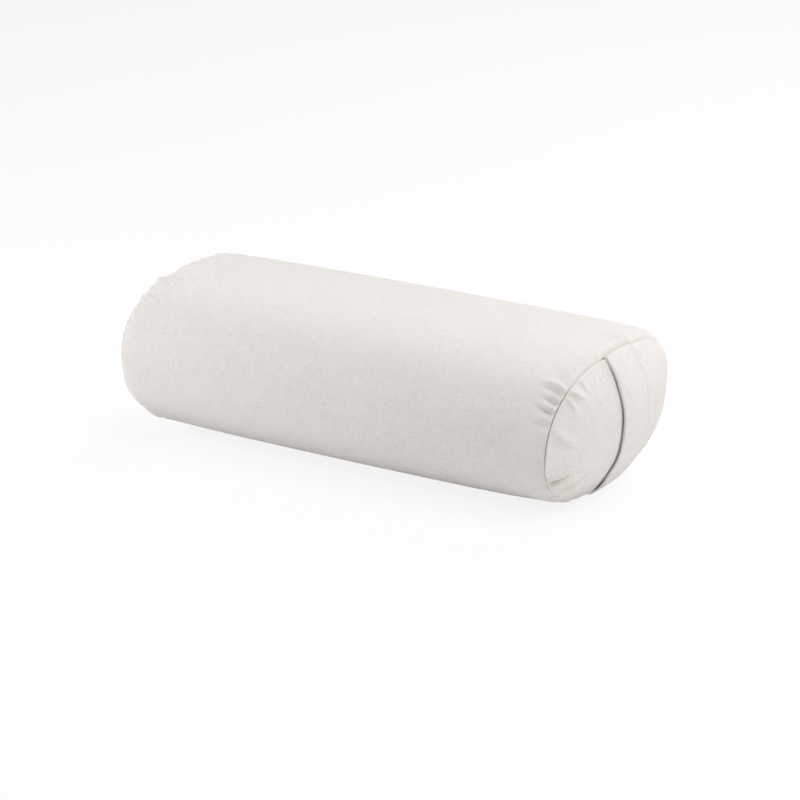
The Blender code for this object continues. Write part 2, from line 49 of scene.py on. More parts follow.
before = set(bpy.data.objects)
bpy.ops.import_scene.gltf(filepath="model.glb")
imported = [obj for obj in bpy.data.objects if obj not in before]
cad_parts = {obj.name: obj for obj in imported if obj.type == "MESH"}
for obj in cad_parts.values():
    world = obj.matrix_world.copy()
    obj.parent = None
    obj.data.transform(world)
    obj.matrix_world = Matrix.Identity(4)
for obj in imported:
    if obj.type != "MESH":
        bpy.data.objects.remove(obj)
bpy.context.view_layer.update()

_, COVER_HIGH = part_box("cover_tube")
HANDLE_LOW, HANDLE_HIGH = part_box("carry_handle")
_, SLIDER_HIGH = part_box("zip_slider")
STOP_LOW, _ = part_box("zip_bottom_stop")
# The cover's opening reaches a little past the bottom stop and past the closed slider.
OPENING = (STOP_LOW.x - 0.0008, SLIDER_HIGH.x + 0.0015)
# Half length of the stretch whose back stays straight for the zip.
ZIP_BAND = SLIDER_HIGH.x + 0.0217


def share(name, description, default, **kind):
    return bpy.props.FloatProperty(name=name, description=description, default=default, **kind)


def length(name, description, default):
    return share(name, description, default, min=0.0, subtype="DISTANCE", unit="LENGTH")


def tint(name, description, default):
    return bpy.props.StringProperty(name=name, description=description, default=default)


class BolsterForm(bpy.types.PropertyGroup):
    """Sizes of the cushion's form, the same as the solids inside."""

    seam_spacing: length("Seam spacing", "Between the two end seams at the widest line", 0.575)
    crown: length("End crown", "How far an end panel swells past its seam", 0.036)
    width: length("Width", "From front to back", 2 * COVER_HIGH.y)
    height: length("Height", "From the floor to the top", COVER_HIGH.z)
    widest_height: length("Widest height", "Height of the widest line", 0.0915)
    floor_flat: length("Floor flat", "Depth of the flat that it lies on", 0.0005)
    top_power: share("Top squareness", "Superellipse power of the upper half", 2.53)
    bottom_power: share("Bottom squareness", "Superellipse power of the lower half", 2.16)
    crown_power: share("Crown power", "2 is a plain dome", 2.2)
    side_barrel: length("Side barrel", "The middle is this much wider on each side", 0.0077)
    top_barrel: length("Top barrel", "The middle is this much higher", 0.0031)
    end_lift: length("End lift", "What the underside leaves the floor by at the seams", 0.0025)
    handle_end_lift: length("Handle end lift", "Lift of the middle of the handle's end", 0.0045)
    shoulder: length("Shoulder", "Length over which the cover rounds into the seam", 0.0115)
    tuck_side: length("Side tuck", "How far it rounds in at the sides", 0.0015)
    tuck_top: length("Top tuck", "How far it rounds in at the top", 0.0125)
    tuck_bottom: length("Bottom tuck", "How far it rounds in at the underside", 0.0065)
    lean: share("End lean", "What an end reaches out by, per metre of height", 0.095)
    straight_share: share("Straight share", "Middle share that neither lifts nor leans", 0.5)


class BolsterCloth(bpy.types.PropertyGroup):
    """Sizes of the cloth, its seams, its handle and its zip."""

    canvas: length("Canvas", "Thickness of the cover's canvas", 0.0010)
    lining: length("Lining", "Thickness of the inner case", 0.0006)
    allowance: length("Seam allowance", "Cloth turned in at the end seams", 0.008)
    seam_gap: length("Seam gap", "Between pieces that are sewn together", 0.0003)
    layer_gap: length("Layer gap", "Between the cover, the case and the filling", 0.0005)
    fold: length("Fold radius", "Round of the canvas where it turns into a seam", 0.0010)
    gather_height: length("Gather height", "Usual height of the puckers along a seam", 0.0015)
    gather_pitch: length("Gather pitch", "Usual distance between puckers", 0.0155)
    ease: share("Ease", "Share of cloth to spare beside the end seams", 0.08)
    handle_width: length("Handle width", "Width of the band", HANDLE_HIGH.y - HANDLE_LOW.y)
    handle_thickness: length("Handle thickness", "Thickness of the folded band", 0.0024)
    handle_gap: length("Handle gap", "Gap between the band and the panel", 0.0017)
    handle_slack: length("Handle slack", "What the gap grows by lower down", 0.0004)
    handle_turn: length("Handle turn", "Room for the panel's rim behind the band", 0.0006)
    handle_in_seam: length("Handle in seam", "Length of each end that the seam holds", 0.006)
    stitch_inset: length("Stitch inset", "From the band's edge to its row of stitches", 0.0021)
    stitch_groove: length("Stitch groove", "How deep a row of stitches draws in the band", 0.0010)
    stitch_pitch: length("Stitch pitch", "Length of one stitch and its gap", 0.0034)
    thread: length("Thread", "Thickness of the sewing thread", 0.0005)
    slot: length("Zip opening", "Width of the opening in the cover", 0.0100)
    strip: length("Zip strip", "Height of the flat strip behind the opening", 0.034)
    tooth_pitch: length("Tooth pitch", "From one tooth of a row to the next", 0.005)


class BolsterColours(bpy.types.PropertyGroup):
    """Colours as sRGB hex values."""

    canvas: tint("Canvas", "Natural off-white cotton", "#EAE5E1")
    canvas_dark: tint("Canvas shade", "Between the threads", "#D6D1CB")
    lining: tint("Lining", "Undyed cotton", "#EDEAE3")
    cotton: tint("Cotton fibre", "Filling", "#F0EDE4")
    thread: tint("Thread", "Undyed beige sewing thread", "#CFC8BD")
    tape: tint("Zip tape", "Woven polyester", "#DDD9D1")
    resin: tint("Teeth", "Moulded resin", "#E2DED6")
    nickel: tint("Slider", "Nickel plating", "#B9B6B0")
    floor: tint("Floor", "Studio floor", "#FCFCFC")


class BolsterStage(bpy.types.PropertyGroup):
    """The view and the light."""

    azimuth: share("Azimuth", "Degrees from the front towards the handle", 32.294)
    elevation: share("Elevation", "Degrees above the horizon", 18.611)
    distance: length("Distance", "From the camera to the cushion's middle line", 3.509)
    focal_pixels: share("Focal length", "In pixels of an 800 pixel picture", 2977.85)
    centre_x: share("Centre X", "Pixel that the camera's axis meets", 391.08)
    centre_y: share("Centre Y", "Pixel that the camera's axis meets", 378.04)
    ambient: share("Ambient", "Strength of the plain white surroundings", 0.16)
    right: share("Right light", "Power of the lamp above the handle's end, in watts", 17.0)
    left: share("Left light", "Power of the lamp before the plain end, in watts", 23.0)
    top: share("Top light", "Power of the lamp overhead, in watts", 6.0)
    back: share("Back light", "Power of the lamp above the back, in watts", 54.0)


# Width of the picture in pixels and of the camera's sensor in millimetres.
PICTURE = 800
SENSOR = 36.0


def form():
    return bpy.context.scene.bolster_form


def cloth():
    return bpy.context.scene.bolster_cloth


def colours():
    return bpy.context.scene.bolster_colours


# Materials


def linear(text):
    """An sRGB hex colour as linear RGBA."""
    values = [int(text[i : i + 2], 16) / 255 for i in (1, 3, 5)]
    return [v / 12.92 if v <= 0.04045 else ((v + 0.055) / 1.055) ** 2.4 for v in values] + [1.0]


def set_all(target, **values):
    """Set properties of a node, a modifier or a lamp by name."""
    for key, value in values.items():
        setattr(target, key, value)


def node(tree, kind, inputs=None, **settings):
    """Add a shader node. An input takes a value, a socket, or a node's first output."""
    made = tree.nodes.new("ShaderNode" + kind)
    set_all(made, **settings)
    for key, source in (inputs or {}).items():
        if isinstance(source, bpy.types.Node):
            source = source.outputs[0]
        if isinstance(source, bpy.types.NodeSocket):
            tree.links.new(source, made.inputs[key])
        else:
            made.inputs[key].default_value = source
    return made


def new_material(name):
    """A material whose node tree is empty."""
    material = bpy.data.materials.new(name)
    material.use_nodes = True
    material.node_tree.nodes.clear()
    return material, material.node_tree


def add_surface(tree, height, tone, stops, bump, surface):
    """A surface with a relief, whose colour runs between two stops as a tone rises.

    Each stop is a position and a hex colour, and bump is the relief's strength and depth.
    """
    colour = node(tree, "ValToRGB", {"Fac": tone})
    for element, (position, shade) in zip(colour.color_ramp.elements, stops):
        element.position = position
        element.color = linear(shade)
    relief = node(tree, "Bump", {"Height": height, "Strength": bump[0], "Distance": bump[1]})
    shader = node(tree, "BsdfPrincipled", {"Base Color": colour, "Normal": relief, **surface})
    node(tree, "OutputMaterial", {"Surface": shader})


def grained(name, scale, detail, dark, light, bump, surface):
    """A material whose colour and relief follow one noise, with scale grains to the metre."""
    material, tree = new_material(name)
    place = node(tree, "TexCoord").outputs["Object"]
    grain = node(tree, "TexNoise", {"Vector": place, "Scale": scale, "Detail": detail})
    add_surface(tree, grain, grain, ((0.0, dark), (1.0, light)), bump, surface)
    return material


def woven(name, light, dark, thread, depth):
    """Plain woven cotton: crossing threads with slubs, matt, with a faint fuzz at grazing angles.

    The threads follow the piece's own flat cloth coordinates, which are in metres.
    """
    material, tree = new_material(name)
    flat = node(tree, "UVMap", uv_map="cloth")
    split = node(tree, "SeparateXYZ", {"Vector": flat})
    # One thread is half a wave wide. Its slubs, where the yarn is thicker, are drawn out along it.
    turn = math.pi / thread
    waves, slubs = [], []
    for axis, drawn_out in (("X", (0.12, 1.0, 1.0)), ("Y", (1.0, 0.12, 1.0))):
        phase = node(tree, "Math", {0: split.outputs[axis], 1: turn}, operation="MULTIPLY")
        waves.append(node(tree, "Math", {0: phase}, operation="SINE"))
        along = node(tree, "Mapping", {"Vector": flat, "Scale": drawn_out})
        noise = {"Vector": along, "Scale": 0.9 / thread, "Detail": 2.0}
        slubs.append(node(tree, "TexNoise", noise))
    crossing = node(tree, "Math", {0: waves[0], 1: waves[1]}, operation="MULTIPLY")
    threads = node(tree, "Math", {0: crossing, 1: 0.30}, operation="MULTIPLY")
    uneven = node(tree, "Math", {0: slubs[0], 1: slubs[1]}, operation="ADD")
    height = node(tree, "Math", {0: uneven, 1: 0.85, 2: threads}, operation="MULTIPLY_ADD")
    # Mottle: the natural colour changes softly over about 70 mm.
    mottle = node(tree, "TexNoise", {"Vector": flat, "Scale": 14.0, "Detail": 3.0})
    tone = node(tree, "Math", {0: mottle, 1: 0.30, 2: height}, operation="MULTIPLY_ADD")
    matt = {"Roughness": 0.92, "Specular IOR Level": 0.25}
    fuzz = {"Sheen Weight": 0.08, "Sheen Roughness": 0.5}
    stops = ((0.50, dark), (1.0, light))
    add_surface(tree, height, tone, stops, (1.0, depth), {**matt, **fuzz})
    return material


def cotton_canvas(name):
    """Cotton canvas of about 0.7 mm threads, drawn at 1.4 mm so that it shows."""
    return woven(name, colours().canvas, colours().canvas_dark, thread=0.0014, depth=0.00045)


def cotton_lining(name):
    """Fine plain cotton with threads of 0.35 mm, drawn at 0.8 mm."""
    return woven(name, colours().lining, colours().canvas, thread=0.0008, depth=0.00015)


def cotton_fibre(name):
    """Loose carded cotton: matt, with soft tufts of about 11 mm and no threads."""
    surface = {"Roughness": 1.0, "Sheen Weight": 0.3}
    shades = colours().canvas_dark, colours().cotton
    return grained(name, 90.0, 6.0, *shades, (0.8, 0.002), surface)


def polyester_tape(name):
    """Woven zip tape: ribs of 0.8 mm and fibres of about 1.4 mm in a slightly shiny ribbon."""
    material, tree = new_material(name)
    place = node(tree, "TexCoord").outputs["Object"]
    split = node(tree, "SeparateXYZ", {"Vector": place})
    turn = math.tau / 0.0008
    phase = node(tree, "Math", {0: split.outputs["X"], 1: turn}, operation="MULTIPLY")
    ribs = node(tree, "Math", {0: phase}, operation="SINE")
    fibres = node(tree, "TexNoise", {"Vector": place, "Scale": 700.0, "Detail": 2.0})
    grain = node(tree, "Math", {0: ribs, 1: 0.3, 2: fibres}, operation="MULTIPLY_ADD")
    stops = ((0.0, colours().canvas_dark), (1.0, colours().tape))
    add_surface(tree, grain, grain, stops, (0.7, 0.0002), {"Roughness": 0.65})
    return material


def moulded_resin(name):
    """Injection-moulded acetal: pale and smooth, with slight flow marks of about 4 mm."""
    shades = colours().tape, colours().resin
    return grained(name, 260.0, 3.0, *shades, (0.2, 0.0001), {"Roughness": 0.38})


def nickel_plate(name):
    """Nickel plate on a zinc casting: satin metal whose 0.7 mm handling marks vary its shine."""
    material, tree = new_material(name)
    place = node(tree, "TexCoord").outputs["Object"]
    marks = node(tree, "TexNoise", {"Vector": place, "Scale": 1500.0, "Detail": 4.0})
    rough = node(tree, "MapRange", {"Value": marks, "To Min": 0.24, "To Max": 0.42})
    relief = node(tree, "Bump", {"Height": marks, "Strength": 0.15, "Distance": 0.0001})
    metal = {"Base Color": linear(colours().nickel), "Metallic": 1.0}
    shader = node(tree, "BsdfPrincipled", {**metal, "Roughness": rough, "Normal": relief})
    node(tree, "OutputMaterial", {"Surface": shader})
    return material


def spun_thread(name):
    """Spun sewing thread: matt, with a fuzz of about 0.5 mm, a shade darker than the canvas."""
    surface = {"Roughness": 0.8, "Sheen Weight": 0.1}
    shades = colours().canvas_dark, colours().thread
    return grained(name, 1800.0, 3.0, *shades, (0.5, 0.0001), surface)


# The cushion's form, worked out on whole arrays of places


def ramp(value, start, end):
    """0 at start and beyond it, 1 at end and beyond it, and straight between them."""
    return np.clip((value - start) / (end - start), 0.0, 1.0)


def eased(part):
    """A share from 0 to 1, made to leave and arrive softly."""
    return part * part * (3 - 2 * part)


def bell(distance, width, power=2):
    """1 in the middle, and little at more than a width from it."""
    return np.exp(-((distance / width) ** power))


def mirrored(half):
    """Places from 0 to an end, with the same on the other side."""
    return np.concatenate([-half[::-1], half[1:]])


def past_middle(x, reach):
    """How far a place is from the straight middle to the end, from 0 to 1."""
    straight = form().straight_share
    return np.maximum(0.0, (np.abs(x) / reach - straight) / (1 - straight))


def strip_depth():
    """How much the zip flattens the back."""
    down = form().widest_height + form().floor_flat
    power = form().bottom_power
    kept = (1 - (cloth().strip / 2 / down) ** power) ** (1 / power)
    return form().width / 2 * (1 / kept - 1)


def half_sizes(x, inset=0.0, tuck=0.0):
    """Front, back, upper and lower half size of a layer's section at a place along X."""
    f = form()
    reach = f.seam_spacing / 2 - inset
    along = np.minimum(np.abs(x) / reach, 1.0)
    # It rounds in to the seam in a wide curve that ends in a tight one.
    into = ramp(np.abs(x), reach - 1.5 * f.shoulder, reach)
    rounded = 0.75 * into**2.4 + 0.25 * into**6
    back_drop = eased(ramp(np.abs(x), ZIP_BAND, reach))
    lift = np.minimum(past_middle(x, reach), 1.0) ** 2
    side_tuck = (f.tuck_side + tuck) * rounded
    front = f.width / 2 - f.side_barrel * along**2 - side_tuck
    back = f.width / 2 + strip_depth() - f.side_barrel * back_drop - side_tuck
    top = f.height - f.widest_height
    upper = top - f.top_barrel * along**2 - (f.tuck_top + tuck) * rounded
    bottom = f.widest_height + f.floor_flat
    lower = bottom - f.end_lift * lift - (f.tuck_bottom + tuck) * rounded
    return [size - inset for size in (front, back, upper, lower)]


def end_sizes():
    """The half sizes of the cover's section at its end seams."""
    return half_sizes(form().seam_spacing / 2)


def outline(sizes, angle, flat_back, radius=1.0, shrink=0.0):
    """Y and Z (about the widest line) of a section at angles round it, flattened at the back."""
    front, back, upper, lower = [(size - shrink) * radius for size in sizes]
    c, s = np.cos(angle), np.sin(angle)
    power = np.where(s >= 0, 2 / form().top_power, 2 / form().bottom_power)
    y = np.sign(c) * np.where(c >= 0, back, front) * np.abs(c) ** power
    z = np.sign(s) * np.where(s >= 0, upper, lower) * np.abs(s) ** power
    return np.minimum(y, back - flat_back * radius), z


def placed(x, y, z):
    """World points: the ends lean out at the top, and the floor stops the underside."""
    f = form()
    leaning = np.sign(x) * past_middle(x, f.seam_spacing / 2) * f.lean * z
    return np.stack([x + leaning, y, np.maximum(z + f.widest_height, 0.0)], -1)


def placed_on_end(side, past, y, z):
    """World points of an end, at a distance past its leaning seam plane."""
    f = form()
    x = side * (f.seam_spacing / 2 + past + f.lean * z)
    return np.stack(np.broadcast_arrays(x, y, z + f.widest_height), -1)


def raised(points):
    """World points of a soft piece, lifted where the handle's end leaves the floor.

    The lift grows from 0.20 to 0.29 m along X, and fades to nothing 75 mm up and 85 mm beside.
    """
    x, y, z = points[:, 0], points[:, 1], points[:, 2]
    lift = eased(ramp(x, 0.20, 0.29)) * eased(ramp(z, 0.075, 0.0)) * bell(y, 0.085)
    none = np.zeros_like(lift)
    return points + np.stack([none, none, form().handle_end_lift * lift], -1)


class Girth:
    """Places round the cushion's middle section: their angle and their distance round it.

    The distance starts at the middle of the back and runs over the top to the front.
    """

    def __init__(self):
        self.angle = np.linspace(0.0, math.tau, 8001)
        y, z = outline(half_sizes(0.0), self.angle, strip_depth())
        steps = np.hypot(np.diff(y), np.diff(np.maximum(z, -form().widest_height)))
        self.arc = np.concatenate([[0.0], np.cumsum(steps)])
        self.total = self.arc[-1]

    def angle_at(self, arc):
        return np.interp(arc, self.arc, self.angle)

    def arc_at(self, angle):
        return np.interp(np.mod(angle, math.tau), self.angle, self.arc)


# The front corner, where the cloth puckers most: its place round the girth and its half width.
FRONT_CORNER = 0.350
FRONT_CORNER_WIDTH = 0.034


def girth_angles(girth, spacing):
    """Angles of the lines that run along the tube, with lines on the opening's two edges.

    They lie closer together at the front corner.
    """
    half = cloth().slot / 2
    inner = np.array([0.0, 0.0008, 0.0025, half])
    places = np.linspace(half, girth.total - half, 4001)
    crowd = 1 + 2.1 * bell(places - FRONT_CORNER, FRONT_CORNER_WIDTH, 6)
    steps = (crowd[1:] + crowd[:-1]) / 2 * np.diff(places)
    crossed = np.concatenate([[0.0], np.cumsum(steps)])
    count = round(crossed[-1] / spacing)
    rest = np.interp(np.linspace(0.0, crossed[-1], count + 1)[1:], crossed, places)
    arc = np.concatenate([inner, rest, girth.total - inner[1:-1][::-1]])
    return girth.angle_at(arc)


# Puckers along the end seams


def wrapped(distance, total):
    """A distance round a girth, taken the shorter way."""
    return (distance + total / 2) % total - total / 2


class Gathers:
    """The puckers that the sewing draws in the cloth beside one end seam.

    Each fold has a place round the girth, a height, a width, a reach and a slant. A negative
    height is a crease. A slant of 0.2 moves a fold by 2 mm for each 10 mm from the seam.
    """

    # The distances from the seam at which a fold is at half its height, and bows most.
    START = 0.0022
    BOW_REACH = 0.008

    def __init__(self, seed, chosen, total, empty=(), bow=0.0, fuller=1.0):
        rng = random.Random(seed)
        c = cloth()
        self.bow = bow
        self.total = total
        self.folds = list(chosen)
        taken = [fold[0] for fold in chosen]
        count = round(total / c.gather_pitch)
        for i in range(count):
            place = (i + 0.5 + rng.uniform(-0.3, 0.3)) * total / count
            height = fuller * c.gather_height * rng.uniform(0.3, 1.2) * self.corner(place)
            width = rng.uniform(0.0034, 0.0056)
            reach = rng.uniform(0.012, 0.030)
            slant = rng.uniform(-0.3, 0.3)
            drop = rng.uniform(0.5, 1.0)
            if any(abs(wrapped(place - other, total)) < 0.55 * c.gather_pitch for other in taken):
                continue
            if any(low < place < high for low, high in empty):
                continue
            self.folds.append((place, height, width, reach, slant))
            crease = (place + 1.5 * width, -drop * height, 0.8 * width, 0.8 * reach, slant)
            self.folds.append(crease)

    def corner(self, place):
        """More cloth is drawn in where the seam turns tightly, at the four corners."""
        turn = math.cos(4 * math.tau * (place / self.total - 0.145))
        return 0.55 + 0.8 * max(0.0, turn)

    def height(self, arc, away):
        """Height of the cloth over its plain form, at a distance from the seam."""
        total = np.zeros(np.broadcast(arc, away).shape)
        away = np.maximum(away, 0.0)
        bowed = self.bow * away / self.BOW_REACH * np.exp(1 - away / self.BOW_REACH)
        for place, height, width, reach, slant in self.folds:
            spread = width * (0.8 + 0.4 * away / reach)
            across = wrapped(arc - place - slant * away - bowed, self.total)
            along = away / (away + self.START) * bell(away, reach, 3)
            total += height * bell(np.abs(across), spread, 2.0 if height > 0 else 1.2) * along
        return total


# The puckers that show on the tube at the handle's end.
NEAR_TUBE_FOLDS = [
    (0.3235, 0.0045, 0.0036, 0.023, 0.02),
    (0.3310, -0.0060, 0.0032, 0.021, 0.04),
    (0.3380, 0.0026, 0.0036, 0.020, 0.14),
    (0.3450, -0.0068, 0.0030, 0.015, 0.06),
    (0.3520, 0.0038, 0.0036, 0.019, 0.02),
    (0.3590, -0.0070, 0.0034, 0.020, -0.10),
    (0.3665, 0.0028, 0.0040, 0.018, 0.06),
    (0.3745, -0.0044, 0.0042, 0.020, 0.10),
    (0.4130, 0.0012, 0.0050, 0.020, -0.10),
    (0.4630, 0.0016, 0.0050, 0.016, -0.10),
    (0.4800, -0.0014, 0.0050, 0.014, 0.00),
]

# The puckers that show on the end panel beside the handle.
NEAR_PANEL_FOLDS = [
    (0.1740, -0.0016, 0.0024, 0.018, -0.75),
    (0.2680, -0.0022, 0.0020, 0.018, 0.55),
    (0.2725, 0.0012, 0.0030, 0.018, 0.50),
    (0.2975, 0.0018, 0.0036, 0.018, 0.50),
    (0.3025, -0.0016, 0.0030, 0.016, 0.50),
    (0.3205, 0.0052, 0.0032, 0.021, 0.08),
    (0.3256, -0.0062, 0.0026, 0.016, 0.44),
    (0.3306, 0.0050, 0.0040, 0.024, 0.70),
    (0.3780, 0.0054, 0.0076, 0.040, 0.70),
    (0.3960, -0.0044, 0.0084, 0.036, 0.50),
    (0.4495, 0.0080, 0.0044, 0.036, 0.02),
    (0.4590, -0.0080, 0.0038, 0.034, 0.10),
    (0.4690, 0.0066, 0.0046, 0.040, 0.15),
    (0.4830, 0.0014, 0.0060, 0.030, 0.00),
    (0.4980, -0.0080, 0.0044, 0.038, -0.15),
    (0.5090, 0.0034, 0.0050, 0.030, -0.10),
]

# The puckers that show against the outline at the far end.
FAR_TUBE_FOLDS = [
    (0.2730, 0.0046, 0.0056, 0.030, 0.28),
    (0.2500, -0.0026, 0.0110, 0.028, 0.15),
    (0.2395, -0.0020, 0.0032, 0.020, 0.05),
    (0.3000, 0.0012, 0.0060, 0.020, 0.10),
    (0.3370, 0.0020, 0.0050, 0.016, 0.10),
    (0.3480, -0.0016, 0.0042, 0.014, 0.10),
]


# Stuffed cloth


# Furthest that the stuffing may move a point from the form, in metres.
CLOTH_MOVE = 0.0022
CLOTH_FRAMES = 20
HELD_LEVELS = 50


def moved_cloth(name, points, faces, pattern, held):
    """How far a sewn and stuffed cloth moves from the form that it is given.

    The pattern has the cloth's own lengths. Where they are longer than the form's, the
    cloth puckers. A weight of 1 in held keeps a point where it is.
    """
    mesh = bpy.data.meshes.new(name)
    mesh.from_pydata([tuple(p) for p in points], [], faces)
    item = bpy.data.objects.new(name, mesh)
    bpy.context.collection.objects.link(item)
    item.shape_key_add(name="sewn")
    flat = item.shape_key_add(name="pattern")
    flat.data.foreach_set("co", pattern.astype(np.float32).ravel())
    group = item.vertex_groups.new(name="held")
    levels = np.round(np.clip(held, 0.0, 1.0) * HELD_LEVELS).astype(int)
    for level in np.unique(levels):
        chosen = [int(i) for i in np.nonzero(levels == level)[0]]
        group.add(chosen, level / HELD_LEVELS, "REPLACE")
    modifier = item.modifiers.new("stuffed", "CLOTH")
    set_all(
        modifier.settings,
        quality=5,
        tension_stiffness=15,
        compression_stiffness=15,
        shear_stiffness=5,
        bending_stiffness=0.5,
        use_pressure=True,
        uniform_pressure_force=4.0,
        vertex_group_mass="held",
        rest_shape_key=flat,
    )
    modifier.settings.effector_weights.gravity = 0.0
    set_all(modifier.collision_settings, use_collision=False, use_self_collision=False)
    set_all(modifier.point_cache, frame_start=1, frame_end=CLOTH_FRAMES)
    scene = bpy.context.scene
    for step in range(1, CLOTH_FRAMES + 1):
        scene.frame_set(step)
    graph = bpy.context.evaluated_depsgraph_get()
    after = np.zeros(len(points) * 3)
    item.evaluated_get(graph).data.vertices.foreach_get("co", after)
    scene.frame_set(1)
    bpy.data.objects.remove(item, do_unlink=True)
    moved = after.reshape(-1, 3) - points
    size = np.linalg.norm(moved, axis=1, keepdims=True)
    return moved * CLOTH_MOVE * np.tanh(size / CLOTH_MOVE) / np.maximum(size, 1e-9)


def cubic_weights(place, count):
    """Four neighbours and their weights for smooth reading between rows."""
    first = np.clip(np.floor(place).astype(int), 0, count - 2)
    t = (place - first)[:, None]
    weights = np.concatenate(
        [
            -t * (1 - t) ** 2 / 2,
            (3 * t**3 - 5 * t**2 + 2) / 2,
            (-3 * t**3 + 4 * t**2 + t) / 2,
            -(t**2) * (1 - t) / 2,
        ],
        axis=1,
    )
    return np.clip(first[:, None] + np.arange(-1, 3)[None, :], 0, count - 1), weights


def read_between(grid, rows, columns):
    """Values of a grid at fractional rows and columns."""
    i, u = cubic_weights(rows, grid.shape[0])
    j, v = cubic_weights(columns, grid.shape[1])
    part = np.einsum("rk,rkcd->rcd", u, grid[i])
    return np.einsum("ck,rckd->rcd", v, part[:, j])


# Meshes


def deselect_all():
    for other in bpy.context.selected_objects:
        other.select_set(False)


def select_only(item):
    deselect_all()
    item.select_set(True)
    bpy.context.view_layer.objects.active = item


def select_parts(item, kind, test):
    """In edit mode, select only the faces or edges that pass a test of their place or normal."""
    bpy.ops.mesh.select_mode(type=kind)
    bpy.ops.mesh.select_all(action="DESELECT")
    bm = bmesh.from_edit_mesh(item.data)
    for part in bm.faces if kind == "FACE" else bm.edges:
        part.select_set(test(part))
    bmesh.update_edit_mesh(item.data)


def begin_model(add_primitive, **settings):
    """Add a primitive at its size and place, and open it in edit mode with nothing else."""
    deselect_all()
    add_primitive(**settings)
    bpy.ops.object.transform_apply(location=True, rotation=True, scale=True)
    bpy.ops.object.mode_set(mode="EDIT")
    return bpy.context.object


def copied(name, model, places, material):
    """Copies of a modelled piece at the given places, as one object. The model itself goes."""
    copies = []
    for place in places:
        item = model.copy()
        item.data = model.data.copy()
        item.data.transform(place)
        bpy.context.collection.objects.link(item)
        copies.append(item)
    mesh = model.data
    bpy.data.objects.remove(model, do_unlink=True)
    bpy.data.meshes.remove(mesh)
    select_only(copies[0])
    for item in copies[1:]:
        item.select_set(True)
    bpy.ops.object.join()
    joined = bpy.context.object
    joined.name = name
    joined.data.materials.clear()
    joined.data.materials.append(material)
    joined.data.shade_smooth()
    return joined


def apply_modifier(item, kind, **settings):
    """Add a modifier, set it and apply it."""
    modifier = item.modifiers.new(kind.lower(), kind)
    set_all(modifier, **settings)
    select_only(item)
    bpy.ops.object.modifier_apply(modifier=modifier.name)


def cloth_object(name, points, faces, flat, material, girth=None):
    """A mesh from points, faces and the flat cloth coordinates of its points, in metres.

    A cloth that closes on itself is given its girth, so that its weave runs on across the join.
    """
    mesh = bpy.data.meshes.new(name)
    mesh.from_pydata([tuple(p) for p in raised(points)], [], faces)
    layer = mesh.uv_layers.new(name="cloth")
    corner = np.zeros(len(mesh.loops), np.int32)
    mesh.loops.foreach_get("vertex_index", corner)
    laid = flat[corner]
    if girth:
        quads = laid[:, 1].reshape(-1, 4)
        wide = (quads.max(axis=1) - quads.min(axis=1) > girth / 2)[:, None]
        laid[:, 1] = np.where(wide & (quads < girth / 2), quads + girth, quads).ravel()
    layer.data.foreach_set("uv", laid.astype(np.float32).ravel())
    mesh.materials.append(material)
    mesh.shade_smooth()
    item = bpy.data.objects.new(name, mesh)
    bpy.context.collection.objects.link(item)
    return item


def ring_faces(first, second, closed=True):
    """Quads between two rows of vertex numbers."""
    count = len(first)
    after = [(i + 1) % count for i in range(count if closed else count - 1)]
    return [(first[i], first[j], second[j], second[i]) for i, j in enumerate(after)]


def grid_faces(shape, closed=True):
    """The vertex numbers of a grid, row by row, and the quads between its rows."""
    numbers = np.arange(shape[0] * shape[1]).reshape(shape[:2])
    faces = []
    for first, second in zip(numbers, numbers[1:]):
        faces += ring_faces(first, second, closed)
    return numbers, faces


def mesh_normals(points, faces):
    """Unit normals at the points of a quad mesh."""
    quads = np.array(faces)
    normals = np.zeros_like(points)
    first, second, third, fourth = (points[quads[:, k]] for k in range(4))
    crossed = np.cross(third - first, fourth - second)
    for k in range(4):
        np.add.at(normals, quads[:, k], crossed)
    size = np.linalg.norm(normals, axis=1, keepdims=True)
    return normals / np.maximum(size, 1e-12)


def recalculate(item, side=0):
    """Turn the faces outwards. An open end is told which side of the cushion it is on."""
    bm = bmesh.new()
    bm.from_mesh(item.data)
    bmesh.ops.recalc_face_normals(bm, faces=bm.faces)
    facing = [face for face in bm.faces if abs(face.normal.x) > 0.5]
    if side * sum(face.normal.x * face.calc_area() for face in facing) < 0:
        bmesh.ops.reverse_faces(bm, faces=bm.faces)
    bm.to_mesh(item.data)
    bm.free()


def remove_loose_points(item):
    bm = bmesh.new()
    bm.from_mesh(item.data)
    loose = [vert for vert in bm.verts if not vert.link_faces]
    bmesh.ops.delete(bm, geom=loose, context="VERTS")
    bm.to_mesh(item.data)
    bm.free()


def finish_piece(item, replaced=None):
    """Everything that is modelled here is sewn to the cushion and stays with it."""
    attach(item, "bolster")
    if replaced:
        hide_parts(replaced)


def finish_sheet(item, slot, replaced, thickness, flat, area=None):
    """Give a sheet its thickness, inwards, and attach it in the place of the part that it replaces.
    """
    apply_modifier(item, "SOLIDIFY", thickness=thickness, offset=-1.0, use_rim=True)
    finish_piece(item, replaced)


# Cover


# Shares of the seam allowance at which the turned-in cloth has a row.
TURNED_IN = (0.35, 0.65, 1.0)
# From one line along the tube to the next, where they don't lie closer.
LINE_SPACING = 0.0031
# The tube's places are closer together over this stretch beside each seam.
BESIDE_SEAM = 0.070
# Stretches of the girth whose seam draws no chance puckers: the top, and under the handle.
TOP_CLEAR = (0.13, 0.31)
UNDER_CLEAR = (0.50, 0.67)
# From the zip opening's edge to its stitches, and how deep they draw in the cover.
ZIP_STITCH = 0.0060
ZIP_STITCH_DEPTH = 0.0006


